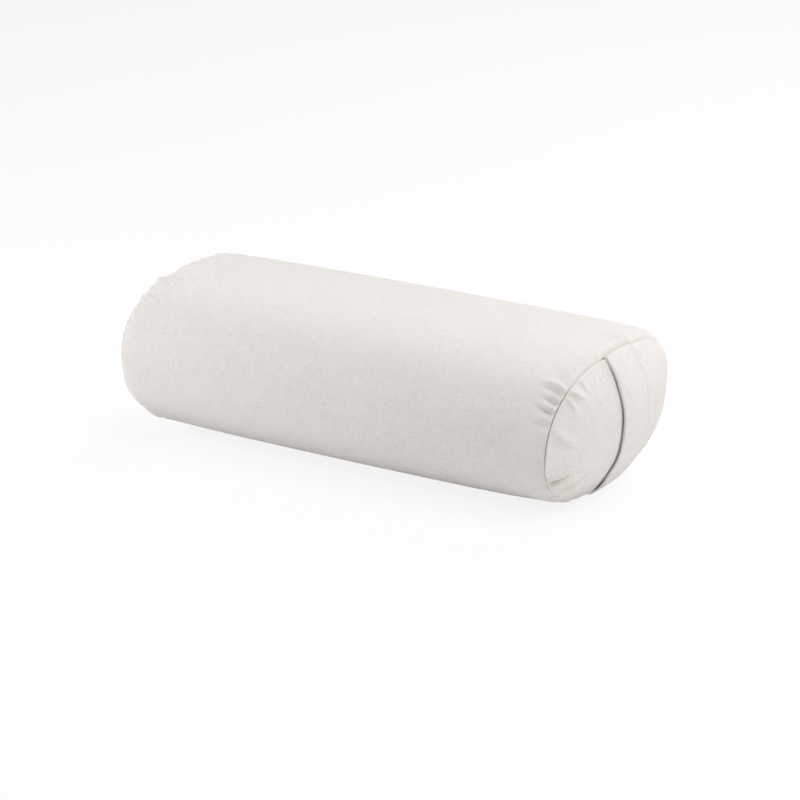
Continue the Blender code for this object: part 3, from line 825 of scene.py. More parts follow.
def tube_places(reach):
    """Places along X for the tube, closer by the seams, in the rim and at the opening's ends."""
    f = form()
    fold = cloth().fold
    middle = np.linspace(0.0, reach - BESIDE_SEAM, 34)
    beside = np.linspace(reach - BESIDE_SEAM, reach - f.shoulder, 26)
    turn = np.linspace(0.0, math.asin(1 - fold / f.shoulder), 7)
    shoulder = reach - f.shoulder * (1 - np.sin(turn))
    rim = reach - fold * (1 - np.sin(np.linspace(0.0, math.pi / 2, 6)))
    places = mirrored(np.concatenate([middle, beside[1:], shoulder[1:], rim[1:]]))
    # Places at each end of the opening take the place of the even ones near it.
    steps = (-0.003, -0.0012, 0.0, 0.0012, 0.003)
    near_ends = [end + step for end in OPENING for step in steps]
    kept = [x for x in places if min(abs(x - end) for end in OPENING) > 0.0045]
    return np.sort(np.concatenate([kept, near_ends]))


class TubeCloth:
    """The tube's cloth on an even grid, with the way it moves when it is stuffed."""

    def __init__(self, girth, near, far):
        f = form()
        reach = f.seam_spacing / 2
        # Squares of about 4 mm beside the seams, and long ones in the middle, which is held.
        self.arc = np.linspace(0.0, girth.total, round(girth.total / 0.0040) + 1)
        angle = girth.angle_at(self.arc)
        close = np.arange(0.0, 0.075, 0.0036)
        self.xs = mirrored(
            np.concatenate([np.linspace(0.0, reach - 0.077, 20), (reach - close)[::-1]])
        )
        rows = [placed(x, *outline(half_sizes(x), angle, strip_depth())) for x in self.xs]
        shape = (len(rows), len(angle), 3)
        _, faces = grid_faces(shape, closed=False)
        points = np.concatenate(rows)
        away = np.repeat(reach - np.abs(self.xs), len(angle))
        arc = np.tile(self.arc, len(rows))
        handle_side = np.repeat(self.xs, len(angle)) > 0
        lifted = np.where(handle_side, near.height(arc, away), far.height(arc, away))
        points = points + mesh_normals(points, faces) * lifted[:, None]
        points[:, 2] = np.maximum(points[:, 2], 0.0)
        held = ramp(away, 0.040, 0.070)
        on_seam = away < 0.0005
        on_floor = bell(points[:, 2], 0.003)
        at_zip = np.minimum(arc, girth.total - arc) < 0.018
        # Even the free cloth is held a little, which keeps it from drifting.
        for other in (on_seam, on_floor, at_zip, 0.04):
            held = np.maximum(held, other)
        corner = np.tile([near.corner(place) for place in self.arc], len(rows))
        # The pattern is longer round the girth beside the seams, most of all at the corners.
        spare = 1 + cloth().ease * bell(away, 0.022) * corner
        middle = np.array([0.0, 0.0, f.widest_height])
        longer = np.stack([np.ones_like(spare), spare, spare], -1)
        pattern = middle + (points - middle) * longer
        self.moved = moved_cloth("tube_cloth", points, faces, pattern, held).reshape(shape)

    def shift(self, xs, arc):
        """How the cloth moves at the rows and columns of another grid."""
        rows = np.interp(xs, self.xs, np.arange(len(self.xs)))
        columns = np.interp(arc, self.arc, np.arange(len(self.arc)))
        return read_between(self.moved, rows, columns)


def seam_opening(arc, y, x):
    """How far the tube's edge stands back from the end seam.

    At the handle's end it gapes at the front, and closes in on the panel beside the handle.
    """
    if x < 0:
        return np.zeros_like(arc)
    c = cloth()
    # The front runs from 0.316 to 0.436 m round the girth.
    gaping = ramp(arc, 0.316, 0.328) * ramp(arc, 0.436, 0.406)
    edge = c.handle_width / 2 + 0.0005
    beside = ramp(np.abs(y), edge, edge + 0.003)
    return 0.0007 * gaping - 0.85 * (seam_swell(y, True) - c.seam_gap) * beside


def build_cover_tube():
    """The tube: its form, the puckers, the zip's opening and the way the stuffing moves it."""
    f, c = form(), cloth()
    girth = Girth()
    angle = girth_angles(girth, LINE_SPACING)
    across = len(angle)
    arc = girth.arc_at(angle)
    arc[0] = 0.0
    reach = f.seam_spacing / 2
    near = Gathers(3, NEAR_TUBE_FOLDS, girth.total, [TOP_CLEAR], bow=0.0035)
    far = Gathers(11, FAR_TUBE_FOLDS, girth.total, fuller=1.3)
    # Each row has a place along X and how far it is turned in behind the seam.
    tips = [c.allowance * part for part in TURNED_IN]
    stations = [(-reach, tip) for tip in reversed(tips)]
    stations += [(x, 0.0) for x in tube_places(reach)]
    stations += [(reach, tip) for tip in tips]
    rows, flats = [], []
    for x, tip in stations:
        into = ramp(abs(x), reach - c.fold, reach)
        shrink = max(c.fold * (1 - math.sqrt(1 - into * into)), tip)
        y, z = outline(half_sizes(x), angle, strip_depth(), shrink=shrink)
        back_from_seam = seam_opening(arc, y, x) * ramp(abs(x), reach - 0.010, reach)
        rows.append(placed(x - back_from_seam, y, z))
        flats.append(np.stack([np.full_like(arc, x + math.copysign(tip, x)), arc], -1))
    points, flat = np.concatenate(rows), np.concatenate(flats)
    xs = np.array([x for x, _ in stations])
    between = (xs[1:] + xs[:-1]) / 2
    _, faces = grid_faces((len(rows), across))

    def covered(face):
        """Whether a quad is outside the zip's opening, which is three lines wide on each side."""
        row, column = divmod(face[0], across)
        in_line = OPENING[0] < between[row] < OPENING[1]
        return not (in_line and (column < 3 or column >= across - 3))

    faces = [face for face in faces if covered(face)]
    normals = mesh_normals(points, faces)
    every_x, every_arc = np.repeat(xs, across), np.tile(arc, len(rows))
    away = reach - np.abs(every_x)
    lifted = np.where(every_x > 0, near.height(every_arc, away), far.height(every_arc, away))
    lifted = np.where(away <= 0.0, 0.0, lifted)
    lifted += zip_edge_height(every_x, points[:, 1], points[:, 2] - f.widest_height)
    stuffed = TubeCloth(girth, near, far).shift(xs, arc).reshape(-1, 3)
    points = points + stuffed + normals * lifted[:, None]
    points[:, 2] = np.maximum(points[:, 2], 0.0)
    canvas = cotton_canvas("cotton_canvas_tube")
    item = cloth_object("canvas_tube", points, faces, flat, canvas, girth.total)
    remove_loose_points(item)
    cut = (girth.total, f.seam_spacing + 2 * c.allowance)
    finish_sheet(item, "canvas_cover", "cover_tube", c.canvas, flat=cut)


def zip_edge_height(x, y, z):
    """The folded edges of the zip opening and the closed seam that goes on from its ends.

    The cloth is puffed at the fold and drawn in along the stitches.
    """
    height = np.abs(z)
    beyond = np.maximum(np.maximum(OPENING[0] - x, x - OPENING[1]), 0.0)
    from_edge = np.hypot(np.maximum(height - cloth().slot / 2, 0.0), beyond)
    # Each has a height, and its bell a place and a width.
    puff = 0.0005 * bell(from_edge - 0.0028, 0.0022)
    stitched = -ZIP_STITCH_DEPTH * bell(from_edge - ZIP_STITCH, 0.0014)
    rolled = -0.0005 * bell(from_edge, 0.0010)
    edge = np.where((y > 0) & (from_edge < 0.02), puff + stitched + rolled, 0.0)
    closed = ramp(beyond, 0.0, 0.003) * (y > 0)
    seam = -0.0016 * bell(height, 0.0010, 1) + 0.0003 * bell(height - 0.004, 0.003)
    return edge * ramp(beyond, 0.012, 0.0) + seam * closed


def disc_grid(count):
    """Angle and radius of an even grid of quads over a disc, its faces and its rim in order."""
    line = np.linspace(-1.0, 1.0, count + 1)
    u, v = np.meshgrid(line, line, indexing="ij")
    px = u * np.sqrt(1 - v * v / 2)
    py = v * np.sqrt(1 - u * u / 2)
    numbers = np.arange((count + 1) ** 2).reshape(count + 1, count + 1)
    faces = [
        (numbers[i, j], numbers[i + 1, j], numbers[i + 1, j + 1], numbers[i, j + 1])
        for i in range(count)
        for j in range(count)
    ]
    sides = (numbers[:-1, 0], numbers[-1, :-1], numbers[:0:-1, -1], numbers[0, :0:-1])
    radius = np.minimum(np.hypot(px, py), 1.0).ravel()
    return np.arctan2(py, px).ravel(), radius, faces, np.concatenate(sides)


def seam_swell(y, with_handle):
    """Gap in the end seam: it opens to take in the handle, and closes again beside it."""
    c = cloth()
    if not with_handle:
        return np.full_like(y, c.seam_gap)
    edge = c.handle_width / 2 + 0.002
    return c.seam_gap + ramp(np.abs(y), edge + 0.014, edge) * (c.handle_thickness + c.seam_gap)


# The turn of the panel's fold at which its face ends and its rim starts.
FOLD_START = math.radians(55)


def rim_inset(side):
    """The plain end's panel is drawn in further, so the tube's edge stands proud of it."""
    return 0.0009 if side < 0 else 0.0


def panel_points(angle, radius, side, with_handle, gathers, girth):
    """Outer face of a crowned end panel at angles and radii, with its puckers."""
    f, c = form(), cloth()
    start = c.fold * (1 - math.cos(FOLD_START)) + rim_inset(side)
    base = c.fold * (1 + math.sin(FOLD_START))
    y, z = outline(end_sizes(), angle, strip_depth(), radius, shrink=start)
    seam_y, seam_z = outline(end_sizes(), angle, strip_depth())
    # The crown makes the way to the seam longer than it is straight across.
    away = (1 - radius) * np.hypot(seam_y, seam_z) * 1.12
    swell = seam_swell(seam_y, with_handle) * radius**2
    rise = (f.crown - base) * (1 - radius**f.crown_power)
    lifted = gathers.height(girth.arc_at(angle), away)
    return placed_on_end(side, base + rise + swell + lifted, y, z)


def panel_shift(name, points, faces, radius, with_handle):
    """How a panel moves when it is stuffed. Its rim has cloth to spare, which puckers."""
    f = form()
    y, z = points[:, 1], points[:, 2] - f.widest_height
    spare = 1 + 1.5 * cloth().ease * ramp(radius, 0.55, 1.0)
    pattern = np.stack([points[:, 0], y * spare, f.widest_height + z * spare], -1)
    held = np.where(radius > 0.995, 1.0, 0.03 + 0.15 * ramp(radius, 0.55, 0.25))
    if with_handle:
        # The handle's ends hold the panel that is under them.
        held = np.maximum(held, ramp(np.abs(y), 0.040, 0.032) * ramp(np.abs(z), 0.045, 0.060))
    return moved_cloth(name + "_cloth", points, faces, pattern, held)


# Share of its box that an oval of this squareness fills.
OVAL_SHARE = 0.83


def oval_cut(sizes, rise, allowance=0.0):
    """Flat size and area of the oval that a crowned end is cut from.

    It is longer than the seam's width and height by what the crown takes up.
    """
    front, back, upper, lower = (float(size) for size in sizes)
    spans = (front + back, upper + lower)
    cut = [span * (1 + 8 / 3 * (rise / span) ** 2) + 2 * allowance for span in spans]
    return {"flat": tuple(cut), "area": OVAL_SHARE * cut[0] * cut[1]}


def build_end_panel(name, node_name, side, with_handle, folds, seed):
    """A crowned end panel, with its rim folded round and turned into the seam."""
    f, c = form(), cloth()
    girth = Girth()
    clear = [TOP_CLEAR, UNDER_CLEAR] if with_handle else []
    gathers = Gathers(seed, folds, girth.total, clear, fuller=1.0 if with_handle else 1.9)
    angle, radius, faces, rim = disc_grid(110)
    if side < 0:
        faces = [face[::-1] for face in faces]
    points = panel_points(angle, radius, side, with_handle, gathers, girth)
    flat = points[:, 1:]
    points = points + panel_shift(name, points, faces, radius, with_handle)
    rim_angle = angle[rim]
    seam_y, _ = outline(end_sizes(), rim_angle, strip_depth())
    swell = seam_swell(seam_y, with_handle)
    # Each row of the rim is drawn in by the first number and lies past the seam by the second.
    turns = np.linspace(FOLD_START, -math.pi / 2, 8)[1:]
    inset = rim_inset(side)
    edges = [(c.fold * (1 - math.cos(t)) + inset, c.fold * (1 + math.sin(t))) for t in turns]
    edges += [(c.allowance * part, 0.0) for part in TURNED_IN]
    last = rim
    for shrink, depth in edges:
        y, z = outline(end_sizes(), rim_angle, strip_depth(), shrink=shrink)
        ring = placed_on_end(side, depth + swell, y, z)
        row = np.arange(len(points), len(points) + len(rim))
        points = np.concatenate([points, ring])
        flat = np.concatenate([flat, ring[:, 1:]])
        faces += ring_faces(last, row)
        last = row
    item = cloth_object(name, points, faces, flat, cotton_canvas("cotton_canvas_" + name))
    recalculate(item, side)
    cut = oval_cut(end_sizes(), f.crown, c.allowance)
    finish_sheet(item, "canvas_cover", node_name, c.canvas, **cut)


class BOLSTER_OT_cover(bpy.types.Operator):
    """Sew the canvas cover: the tube with its zip opening and the two crowned end panels"""

    bl_idname = "bolster.cover"
    bl_label = "Cover"

    def execute(self, context):
        build_cover_tube()
        build_end_panel("canvas_handle_end", "handle_end_panel", 1, True, NEAR_PANEL_FOLDS, 5)
        build_end_panel("canvas_plain_end", "plain_end_panel", -1, False, [], 7)
        return {"FINISHED"}


# Carry handle


def panel_face(y, z):
    """Distance along X from the seam plane to the handle panel's plain outer face."""
    f = form()
    front, back, upper, lower = end_sizes()
    power = np.where(z >= 0, f.top_power, f.bottom_power)
    tall = np.where(z >= 0, upper, lower)
    wide = np.where(y >= 0, back, front)
    radius = ((np.abs(y) / wide) ** power + (np.abs(z) / tall) ** power) ** (1 / power)
    radius = np.clip(radius, 0.001, 1.0)
    return f.crown * (1 - radius**f.crown_power) + seam_swell(y / radius, True) * radius**2


def seam_height(y, sign):
    """Height of the end seam above or below the widest line, at places across the end."""
    f = form()
    front, back, upper, lower = end_sizes()
    power, tall = (f.top_power, upper) if sign > 0 else (f.bottom_power, lower)
    wide = np.where(y >= 0, back, front)
    height = tall * (1 - (np.abs(y) / wide) ** power) ** (1 / power)
    if sign < 0:
        height = np.minimum(height, lower - f.floor_flat)
    return sign * height


def handle_line(y, steps):
    """Inner face of the band at places across it: rows of X past the seam plane, and Z."""
    c = cloth()
    top, bottom = seam_height(y, 1), seam_height(y, -1)
    in_seam = np.full_like(y, c.seam_gap + c.handle_thickness)
    held, turn = c.handle_in_seam, c.handle_turn
    half = c.handle_width / 2
    # The gap closes towards the back, and the front edge curls outwards low down.
    closer = 1 - 0.45 * eased(ramp(y / half, -0.3, 1.0))
    curl = 0.0016 * ramp(-y / half, 0.0, 1.0) ** 3
    rows = [(in_seam, top - down) for down in (held, held / 2, turn)]
    rows.append((in_seam + turn / 2, top + turn))
    # The rows between are closer together towards both seams.
    for part in (np.arange(steps) + 0.8) / (steps + 0.6):
        z = top + (bottom - top) * (1 - math.cos(math.pi * part)) / 2
        gap = c.handle_gap * min(1.0, min(part, 1 - part) / 0.2)
        slack = c.handle_slack * bell(part - 0.74, 0.14)
        turned_out = curl * bell(part - 0.84, 0.07)
        rows.append((panel_face(y, z) + turn + (gap + slack) * closer + turned_out, z))
    rows.append((in_seam + turn / 2, bottom - turn))
    rows += [(in_seam, bottom + up) for up in (turn, held / 2, held)]
    return np.array([row[0] for row in rows]), np.array([row[1] for row in rows])


def smoothed(values, rounds):
    """Rows averaged with their neighbours, the ends kept."""
    for _ in range(rounds):
        values[1:-1] = values[1:-1] / 2 + (values[:-2] + values[2:]) / 4
    return values


def round_band(rows):
    """Values across the band, carried round its section with three more at each edge."""
    right, left = (np.repeat(edge, 3, axis=1) for edge in (rows[:, -1:], rows[:, :1]))
    return np.concatenate([rows, right, rows[:, ::-1], left], axis=1)


# The line along the band, near its middle, that measures the way for stitches and weave.
MIDDLE_LINE = 20


def build_handle():
    """The folded band. Gives the rows of its inner face, their outward way and the run along it."""
    c = cloth()
    half, thick = c.handle_width / 2, c.handle_thickness
    # Lines across the band, closer beside its edges, where the stitches draw it in.
    beside = np.array([1.0, 0.992, 0.978, 0.962, 0.948, 0.935, 0.922, 0.905, 0.88, 0.83])
    lines = np.concatenate([-beside, np.linspace(-0.78, 0.78, 27), beside[::-1]])
    ys = lines * (half - 0.0003)
    xs, zs = (smoothed(rows, 3) for rows in handle_line(ys, 110))
    dx, dz = np.gradient(xs, axis=0), np.gradient(zs, axis=0)
    size = np.hypot(dx, dz)
    out_x, out_z = -dz / size, dx / size
    steps = np.hypot(np.diff(xs[:, MIDDLE_LINE]), np.diff(zs[:, MIDDLE_LINE]))
    run = np.concatenate([[0.0], np.cumsum(steps)])
    inset = half - np.abs(ys)
    groove = c.stitch_groove * bell(inset - c.stitch_inset, 0.0007)
    # The edges wave, with 47 mm from crest to crest.
    wave = 0.0003 * np.outer(np.sin(run * math.tau / 0.047 + 0.6), np.sign(ys))
    wave = wave * np.exp(-inset / 0.007)
    edge = 1 - ramp(inset, 0.0, thick / 4)
    rounding = thick / 4 * (1 - np.sqrt(1 - edge**2))
    lower, upper = rounding + groove, thick - rounding - groove
    # Each edge has three lines, and the middle one is pinched in between the layers.
    side = thick * np.array([0.25, 0.5, 0.75])
    pinched = half - np.array([0.0, 0.0005, 0.0])
    loop_y = np.concatenate([ys, pinched, ys[::-1], -pinched])
    depth = np.concatenate([lower, side, upper[::-1], side[::-1]]) + round_band(wave)
    x = round_band(xs) + round_band(out_x) * depth
    z = round_band(zs) + round_band(out_z) * depth
    points = placed_on_end(1, x, loop_y, z).reshape(-1, 3)
    none = np.zeros(len(ys))
    across = loop_y + np.concatenate([none, side, none, side])
    flat = np.stack(np.broadcast_arrays(across, run[:, None]), -1).reshape(-1, 2)
    numbers, faces = grid_faces(x.shape)
    faces += [tuple(numbers[0][::-1]), tuple(numbers[-1])]
    canvas = cotton_canvas("cotton_canvas_band")
    item = cloth_object("canvas_handle", points, faces, flat, canvas)
    recalculate(item)
    finish_piece(item, "carry_handle")
    return xs, zs, out_x, out_z, ys, run


def model_stitch():
    """One stitch along X: a short round thread that thins and dips into the cloth at its ends."""
    c = cloth()
    half = c.stitch_pitch * 0.4
    size = {"radius": c.thread / 2, "depth": 2 * half}
    cylinder = bpy.ops.mesh.primitive_cylinder_add
    item = begin_model(cylinder, vertices=6, rotation=(0, math.pi / 2, 0), **size)
    select_parts(item, "EDGE", lambda edge: edge.calc_length() > half)
    bpy.ops.mesh.subdivide(number_cuts=3)
    for part in (-1.0, -0.5, 0.5, 1.0):
        x = part * half
        select_parts(item, "EDGE", lambda edge: all(abs(v.co.x - x) < 1e-5 for v in edge.verts))
        bpy.ops.transform.resize(value=(1, 1 - 0.25 * part**2, 1), center_override=(0, 0, 0))
        bpy.ops.transform.translate(value=(0, 0, -0.9 * c.thread * abs(part) ** 3))
    bpy.ops.object.mode_set(mode="OBJECT")
    return item


def row_of_stitches(name, centres, directions, normals, material):
    """Stitches at the given places, each along its direction and standing on its normal."""
    places = []
    for centre, direction, normal in zip(centres, directions, normals):
        along = Vector(direction).normalized()
        up = Vector(normal).normalized()
        side = up.cross(along).normalized()
        axes = Matrix((along, side, up)).transposed().to_4x4()
        places.append(Matrix.Translation(Vector(centre)) @ axes)
    return copied(name, model_stitch(), places, material)


def read_along(rows, run, place):
    """The point of a line at a distance along it."""
    return np.array([np.interp(place, run, rows[:, axis]) for axis in range(3)])


def build_handle_stitches(xs, zs, out_x, out_z, ys, run):
    """A row of stitches along each edge of the band, between the ends that the seam holds."""
    c = cloth()
    centres, directions, normals = [], [], []
    first, last = run[4], run[-5]
    count = int((last - first) / c.stitch_pitch)
    depth = c.handle_thickness - c.stitch_groove + c.thread * 0.35
    for sign in (-1, 1):
        column = int(np.abs(ys - sign * (c.handle_width / 2 - c.stitch_inset)).argmin())
        outward = np.stack([out_x[:, column], np.zeros_like(run), out_z[:, column]], -1)
        x, _, z = outward.T * depth
        line = placed_on_end(1, xs[:, column] + x, ys[column], zs[:, column] + z)
        line = raised(line)
        for k in range(count):
            place = first + (k + 0.5) * c.stitch_pitch
            centre = read_along(line, run, place)
            centres.append(centre)
            directions.append(read_along(line, run, place + 0.001) - centre)
            normals.append(read_along(outward, run, place))
    thread = spun_thread("spun_thread_handle")
    item = row_of_stitches("handle_stitches", centres, directions, normals, thread)
    finish_piece(item)


class BOLSTER_OT_handle(bpy.types.Operator):
    """Fold the carry handle from canvas, stitch its edges and sew it over the end panel"""

    bl_idname = "bolster.handle"
    bl_label = "Carry handle"

    def execute(self, context):
        build_handle_stitches(*build_handle())
        return {"FINISHED"}


# Inner cushion


# How much further than the back's flat strip the zip presses the inner layers in.
ZIP_PRESS = 0.0062
# What the inner layers' crown is lower than the cover's.
CROWN_ROOM = 0.0015


def inner_places(reach, middle, beside):
    """Places along X for an inner layer, so many in its middle and so many beside an end."""
    middle = np.linspace(0.0, reach - 0.02, middle)
    beside = np.linspace(reach - 0.02, reach, beside)
    return mirrored(np.concatenate([middle, beside[1:]]))


def inner_sizes(x, inset):
    """The half sizes of an inner layer's section, which clears the cover's turned-in seams."""
    return half_sizes(x, inset, cloth().allowance + cloth().layer_gap)


def inner_points(xs, angle, inset):
    """Rows of points of a layer inside the cover, pressed in behind the zip."""
    press = strip_depth() + ZIP_PRESS - inset
    rows = [outline(inner_sizes(x, inset), angle, press, shrink=0.0025) for x in xs]
    return np.array([placed(x, y, z) for x, (y, z) in zip(xs, rows)])


def inner_end(side, angle, radius, inset, outside=0.0):
    """World points of an inner layer's crowned end."""
    f = form()
    sizes = inner_sizes(f.seam_spacing / 2 - inset, inset)
    y, z = outline(sizes, angle, strip_depth() + ZIP_PRESS - inset, radius)
    rise = outside + (f.crown - CROWN_ROOM) * (1 - radius**f.crown_power)
    return placed_on_end(side, rise - inset, y, z)


def build_liner():
    """The inner case: a tube with shallow creases at its seams, and two crowned ends."""
    f, c = form(), cloth()
    girth = Girth()
    inset = c.canvas + c.layer_gap
    reach = f.seam_spacing / 2 - inset
    angle = girth.angle_at(np.linspace(0.0, girth.total, 200, endpoint=False))
    xs = inner_places(reach, 40, 14)
    points = inner_points(xs, angle, inset)
    _, faces = grid_faces(points.shape)
    points = points.reshape(-1, 3)
    flat = np.stack([np.repeat(xs, len(angle)), np.tile(girth.arc_at(angle), len(xs))], -1)
    folds = Gathers(21, [], girth.total).height(flat[:, 1], reach - np.abs(flat[:, 0]))
    creases = 0.4 * np.maximum(folds, 0.0)
    points = points - mesh_normals(points, faces) * creases[:, None]
    cotton = cotton_lining("cotton_lining_tube")
    tube = cloth_object("lining_tube", points, faces, flat, cotton, girth.total)
    finish_sheet(tube, "lining", "liner_tube", c.lining, flat=(girth.total, 2 * reach))
    cut = oval_cut(inner_sizes(reach, inset), f.crown)
    for end, side in (("handle_end", 1), ("plain_end", -1)):
        turn, radius, faces, _ = disc_grid(60)
        if side < 0:
            faces = [face[::-1] for face in faces]
        shell = inner_end(side, turn, radius, inset, c.seam_gap + c.lining)
        cotton = cotton_lining("cotton_lining_" + end)
        item = cloth_object("lining_" + end, shell, faces, shell[:, 1:], cotton)
        finish_sheet(item, "lining", "liner_" + end, c.lining, **cut)


def build_filling():
    """The cotton filling as a closed, slightly lumpy body."""
    c = cloth()
    girth = Girth()
    inset = c.canvas + c.lining + 2 * c.layer_gap
    reach = form().seam_spacing / 2 - inset
    angle = girth.angle_at(np.linspace(0.0, girth.total, 160, endpoint=False))
    rows = list(inner_points(inner_places(reach, 36, 8), angle, inset))
    for radius in (0.96, 0.9, 0.82, 0.72, 0.6, 0.47, 0.33, 0.18, 0.06):
        rows.append(inner_end(1, angle, radius, inset))
        rows.insert(0, inner_end(-1, angle, radius, inset))
    points = np.array(rows)
    numbers, faces = grid_faces(points.shape)
    points = points.reshape(-1, 3)
    lumps = np.zeros(len(points))
    rng = random.Random(4)
    for _ in range(14):
        wave = Vector((rng.gauss(0, 1), rng.gauss(0, 1), rng.gauss(0, 1))).normalized()
        waves = math.tau / rng.uniform(0.035, 0.09)
        lumps += np.sin(points @ np.array(wave) * waves + rng.uniform(0, math.tau))
    # The face is sunk by 0.6 mm, and lumps of a few tenths of a millimetre lie about it.
    sunk = 0.0006 + 0.00012 * lumps
    points = points - mesh_normals(points, faces) * sunk[:, None]
    faces += [tuple(numbers[0][::-1]), tuple(numbers[-1])]
    cotton = cotton_fibre("carded_cotton")
    item = cloth_object("filling_cotton", points, faces, points[:, :2], cotton)
    recalculate(item)
    finish_piece(item, "filling")


class BOLSTER_OT_cushion(bpy.types.Operator):
    """Make the inner cushion: the cotton filling in its sewn lining"""

    bl_idname = "bolster.cushion"
    bl_label = "Inner cushion"

    def execute(self, context):
        build_filling()
        build_liner()
        return {"FINISHED"}


# Zip


# Size of a tooth's body along X, Y and Z, and the bevel of its edges.
TOOTH_BODY = (0.0022, 0.0020, 0.0030)
TOOTH_EDGE = 0.00022
# From the zip's middle line to the middle of a tooth and of the cord that carries it.
TOOTH_OUT = 0.0019
CORD_OUT = 0.0029
CORD_RADIUS = 0.00075


def model_tooth():
    """One moulded tooth, pointing down Z: a body on the tape's cord and a wider, rounded head."""
    item = begin_model(bpy.ops.mesh.primitive_cube_add, size=1.0, scale=TOOTH_BODY)
    select_parts(item, "FACE", lambda face: face.normal.z < -0.9)
    for wider, deeper, down in ((0.62, 1.0, 0.0009), (1.45, 0.9, 0.0008)):
        bpy.ops.mesh.extrude_region_move(TRANSFORM_OT_translate={"value": (0, 0, -down)})
        bpy.ops.transform.resize(value=(wider, deeper, 1), center_override=(0, 0, 0))
    bpy.ops.mesh.select_all(action="SELECT")
    bpy.ops.mesh.bevel(offset=TOOTH_EDGE, segments=1, affect="EDGES")
    bpy.ops.object.mode_set(mode="OBJECT")
    return item


def model_cord(start, end, y, z, radius):
    """The straight cord that carries a row of teeth, rounded at its two ends."""
    place = {"location": ((start + end) / 2, y, z), "rotation": (0, math.pi / 2, 0)}
    cylinder = bpy.ops.mesh.primitive_cylinder_add
    item = begin_model(cylinder, vertices=10, radius=radius, depth=end - start, **place)
    select_parts(item, "FACE", lambda face: abs(face.normal.x) > 0.9)
    bpy.ops.mesh.bevel(offset=radius * 0.45, segments=2, affect="EDGES")
    bpy.ops.object.mode_set(mode="OBJECT")
    return item


def build_teeth(name, node_name, sign):
    """A row of teeth on its cord, in the place of the solid row."""
    low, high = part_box(node_name)
    count = round((high.x - low.x) / cloth().tooth_pitch)
    pitch = (high.x - low.x) / count
    # The two rows mesh: one is half a pitch further along than the other.
    shift = 0.25 if sign > 0 else 0.75
    depth = (low.y + high.y) / 2
    line = form().widest_height
    turned = Matrix.Rotation(0.0 if sign > 0 else math.pi, 4, "X")
    xs = [low.x + (i + shift) * pitch for i in range(count)]
    # A tooth that would pass the cord's end is left out.
    xs = [x for x in xs if x <= high.x - TOOTH_BODY[0] / 2 - 0.0001]
    places = [Matrix.Translation((x, depth, line + sign * TOOTH_OUT)) @ turned for x in xs]
    item = copied(name, model_tooth(), places, moulded_resin("moulded_acetal_" + name))
    cord = model_cord(low.x, high.x, depth, line + sign * CORD_OUT, CORD_RADIUS)
    cord.data.materials.append(item.data.materials[0])
    select_only(item)
    cord.select_set(True)
    bpy.ops.object.join()
    item.data.shade_smooth()
    item.data.set_sharp_from_angle(angle=math.radians(40))
    recalculate(item)
    finish_piece(item, node_name)


def build_zip_stitches():
    """A row of stitches round the opening, which holds the tapes."""
    f, c = form(), cloth()
    low, high = OPENING[0] - ZIP_STITCH, OPENING[1] + ZIP_STITCH
    offset = c.slot / 2 + ZIP_STITCH
    back = f.width / 2 - ZIP_STITCH_DEPTH + c.thread * 0.2
    turns = ((low, offset), (high, offset), (high, -offset), (low, -offset))
    corners = [np.array([x, back, f.widest_height + z]) for x, z in turns]
    centres, directions = [], []
    for start, end in zip(corners, corners[1:] + corners[:1]):
        side = end - start
        count = int(np.linalg.norm(side) / c.stitch_pitch)
        centres += [start + side * (i + 0.5) / count for i in range(count)]
        directions += [side] * count
    normals = [(0.0, 1.0, 0.0)] * len(centres)
    thread = spun_thread("spun_thread_zip")
    item = row_of_stitches("zip_stitches", centres, directions, normals, thread)
    finish_piece(item)


def finish_solids():
    """Give the zip's solids their real finishes."""
    finishes = {
        "zip_tape_upper": polyester_tape("polyester_tape_upper"),
        "zip_tape_lower": polyester_tape("polyester_tape_lower"),
        "zip_top_stop_upper": moulded_resin("moulded_acetal_stop_upper"),
        "zip_top_stop_lower": moulded_resin("moulded_acetal_stop_lower"),
        "zip_bottom_stop": moulded_resin("moulded_acetal_stop_bottom"),
        "zip_slider": nickel_plate("nickel_slider"),
        "zip_pull": nickel_plate("nickel_pull"),
    }
    for name, material in finishes.items():
        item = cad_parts[name]
        item.data.materials.clear()
        item.data.materials.append(material)


class BOLSTER_OT_zip(bpy.types.Operator):
    """Make the zip: both rows of teeth, the stitches beside the opening and the finishes"""

    bl_idname = "bolster.zip"
    bl_label = "Zip"

    def execute(self, context):
        build_teeth("resin_teeth_upper", "zip_teeth_upper", 1)
        build_teeth("resin_teeth_lower", "zip_teeth_lower", -1)
        build_zip_stitches()
        finish_solids()
        return {"FINISHED"}


# Stage


def add_area(name, place, power, size=2.0):
    """A round soft light that points at the bolster."""
    data = bpy.data.lights.new(name, "AREA")
    set_all(data, shape="DISK", size=size, energy=power)
    light = bpy.data.objects.new(name, data)
    light.location = place
    light.visible_camera = False
    aim = Vector((0.0, 0.0, 0.1)) - Vector(place)
    light.rotation_euler = aim.to_track_quat("-Z", "Y").to_euler()
    bpy.context.collection.objects.link(light)


def build_floor():
    deselect_all()
    bpy.ops.mesh.primitive_plane_add(size=40.0)
    floor = bpy.context.object
    floor.name = "studio_floor"
    material, tree = new_material("painted_floor")
    # The camera sees a plain white backdrop that still takes the object's shadow.
    paint = node(tree, "BsdfDiffuse", {"Color": linear(colours().floor)})
    glow = node(tree, "Emission", {"Color": (1, 1, 1, 1), "Strength": 1.0})
    path = node(tree, "LightPath")
    seen = node(tree, "Math", {0: path.outputs["Is Camera Ray"], 1: 0.86}, operation="MULTIPLY")
    mixed = node(tree, "MixShader", {"Fac": seen, 1: paint, 2: glow})
    node(tree, "OutputMaterial", {"Surface": mixed})
    floor.data.materials.append(material)


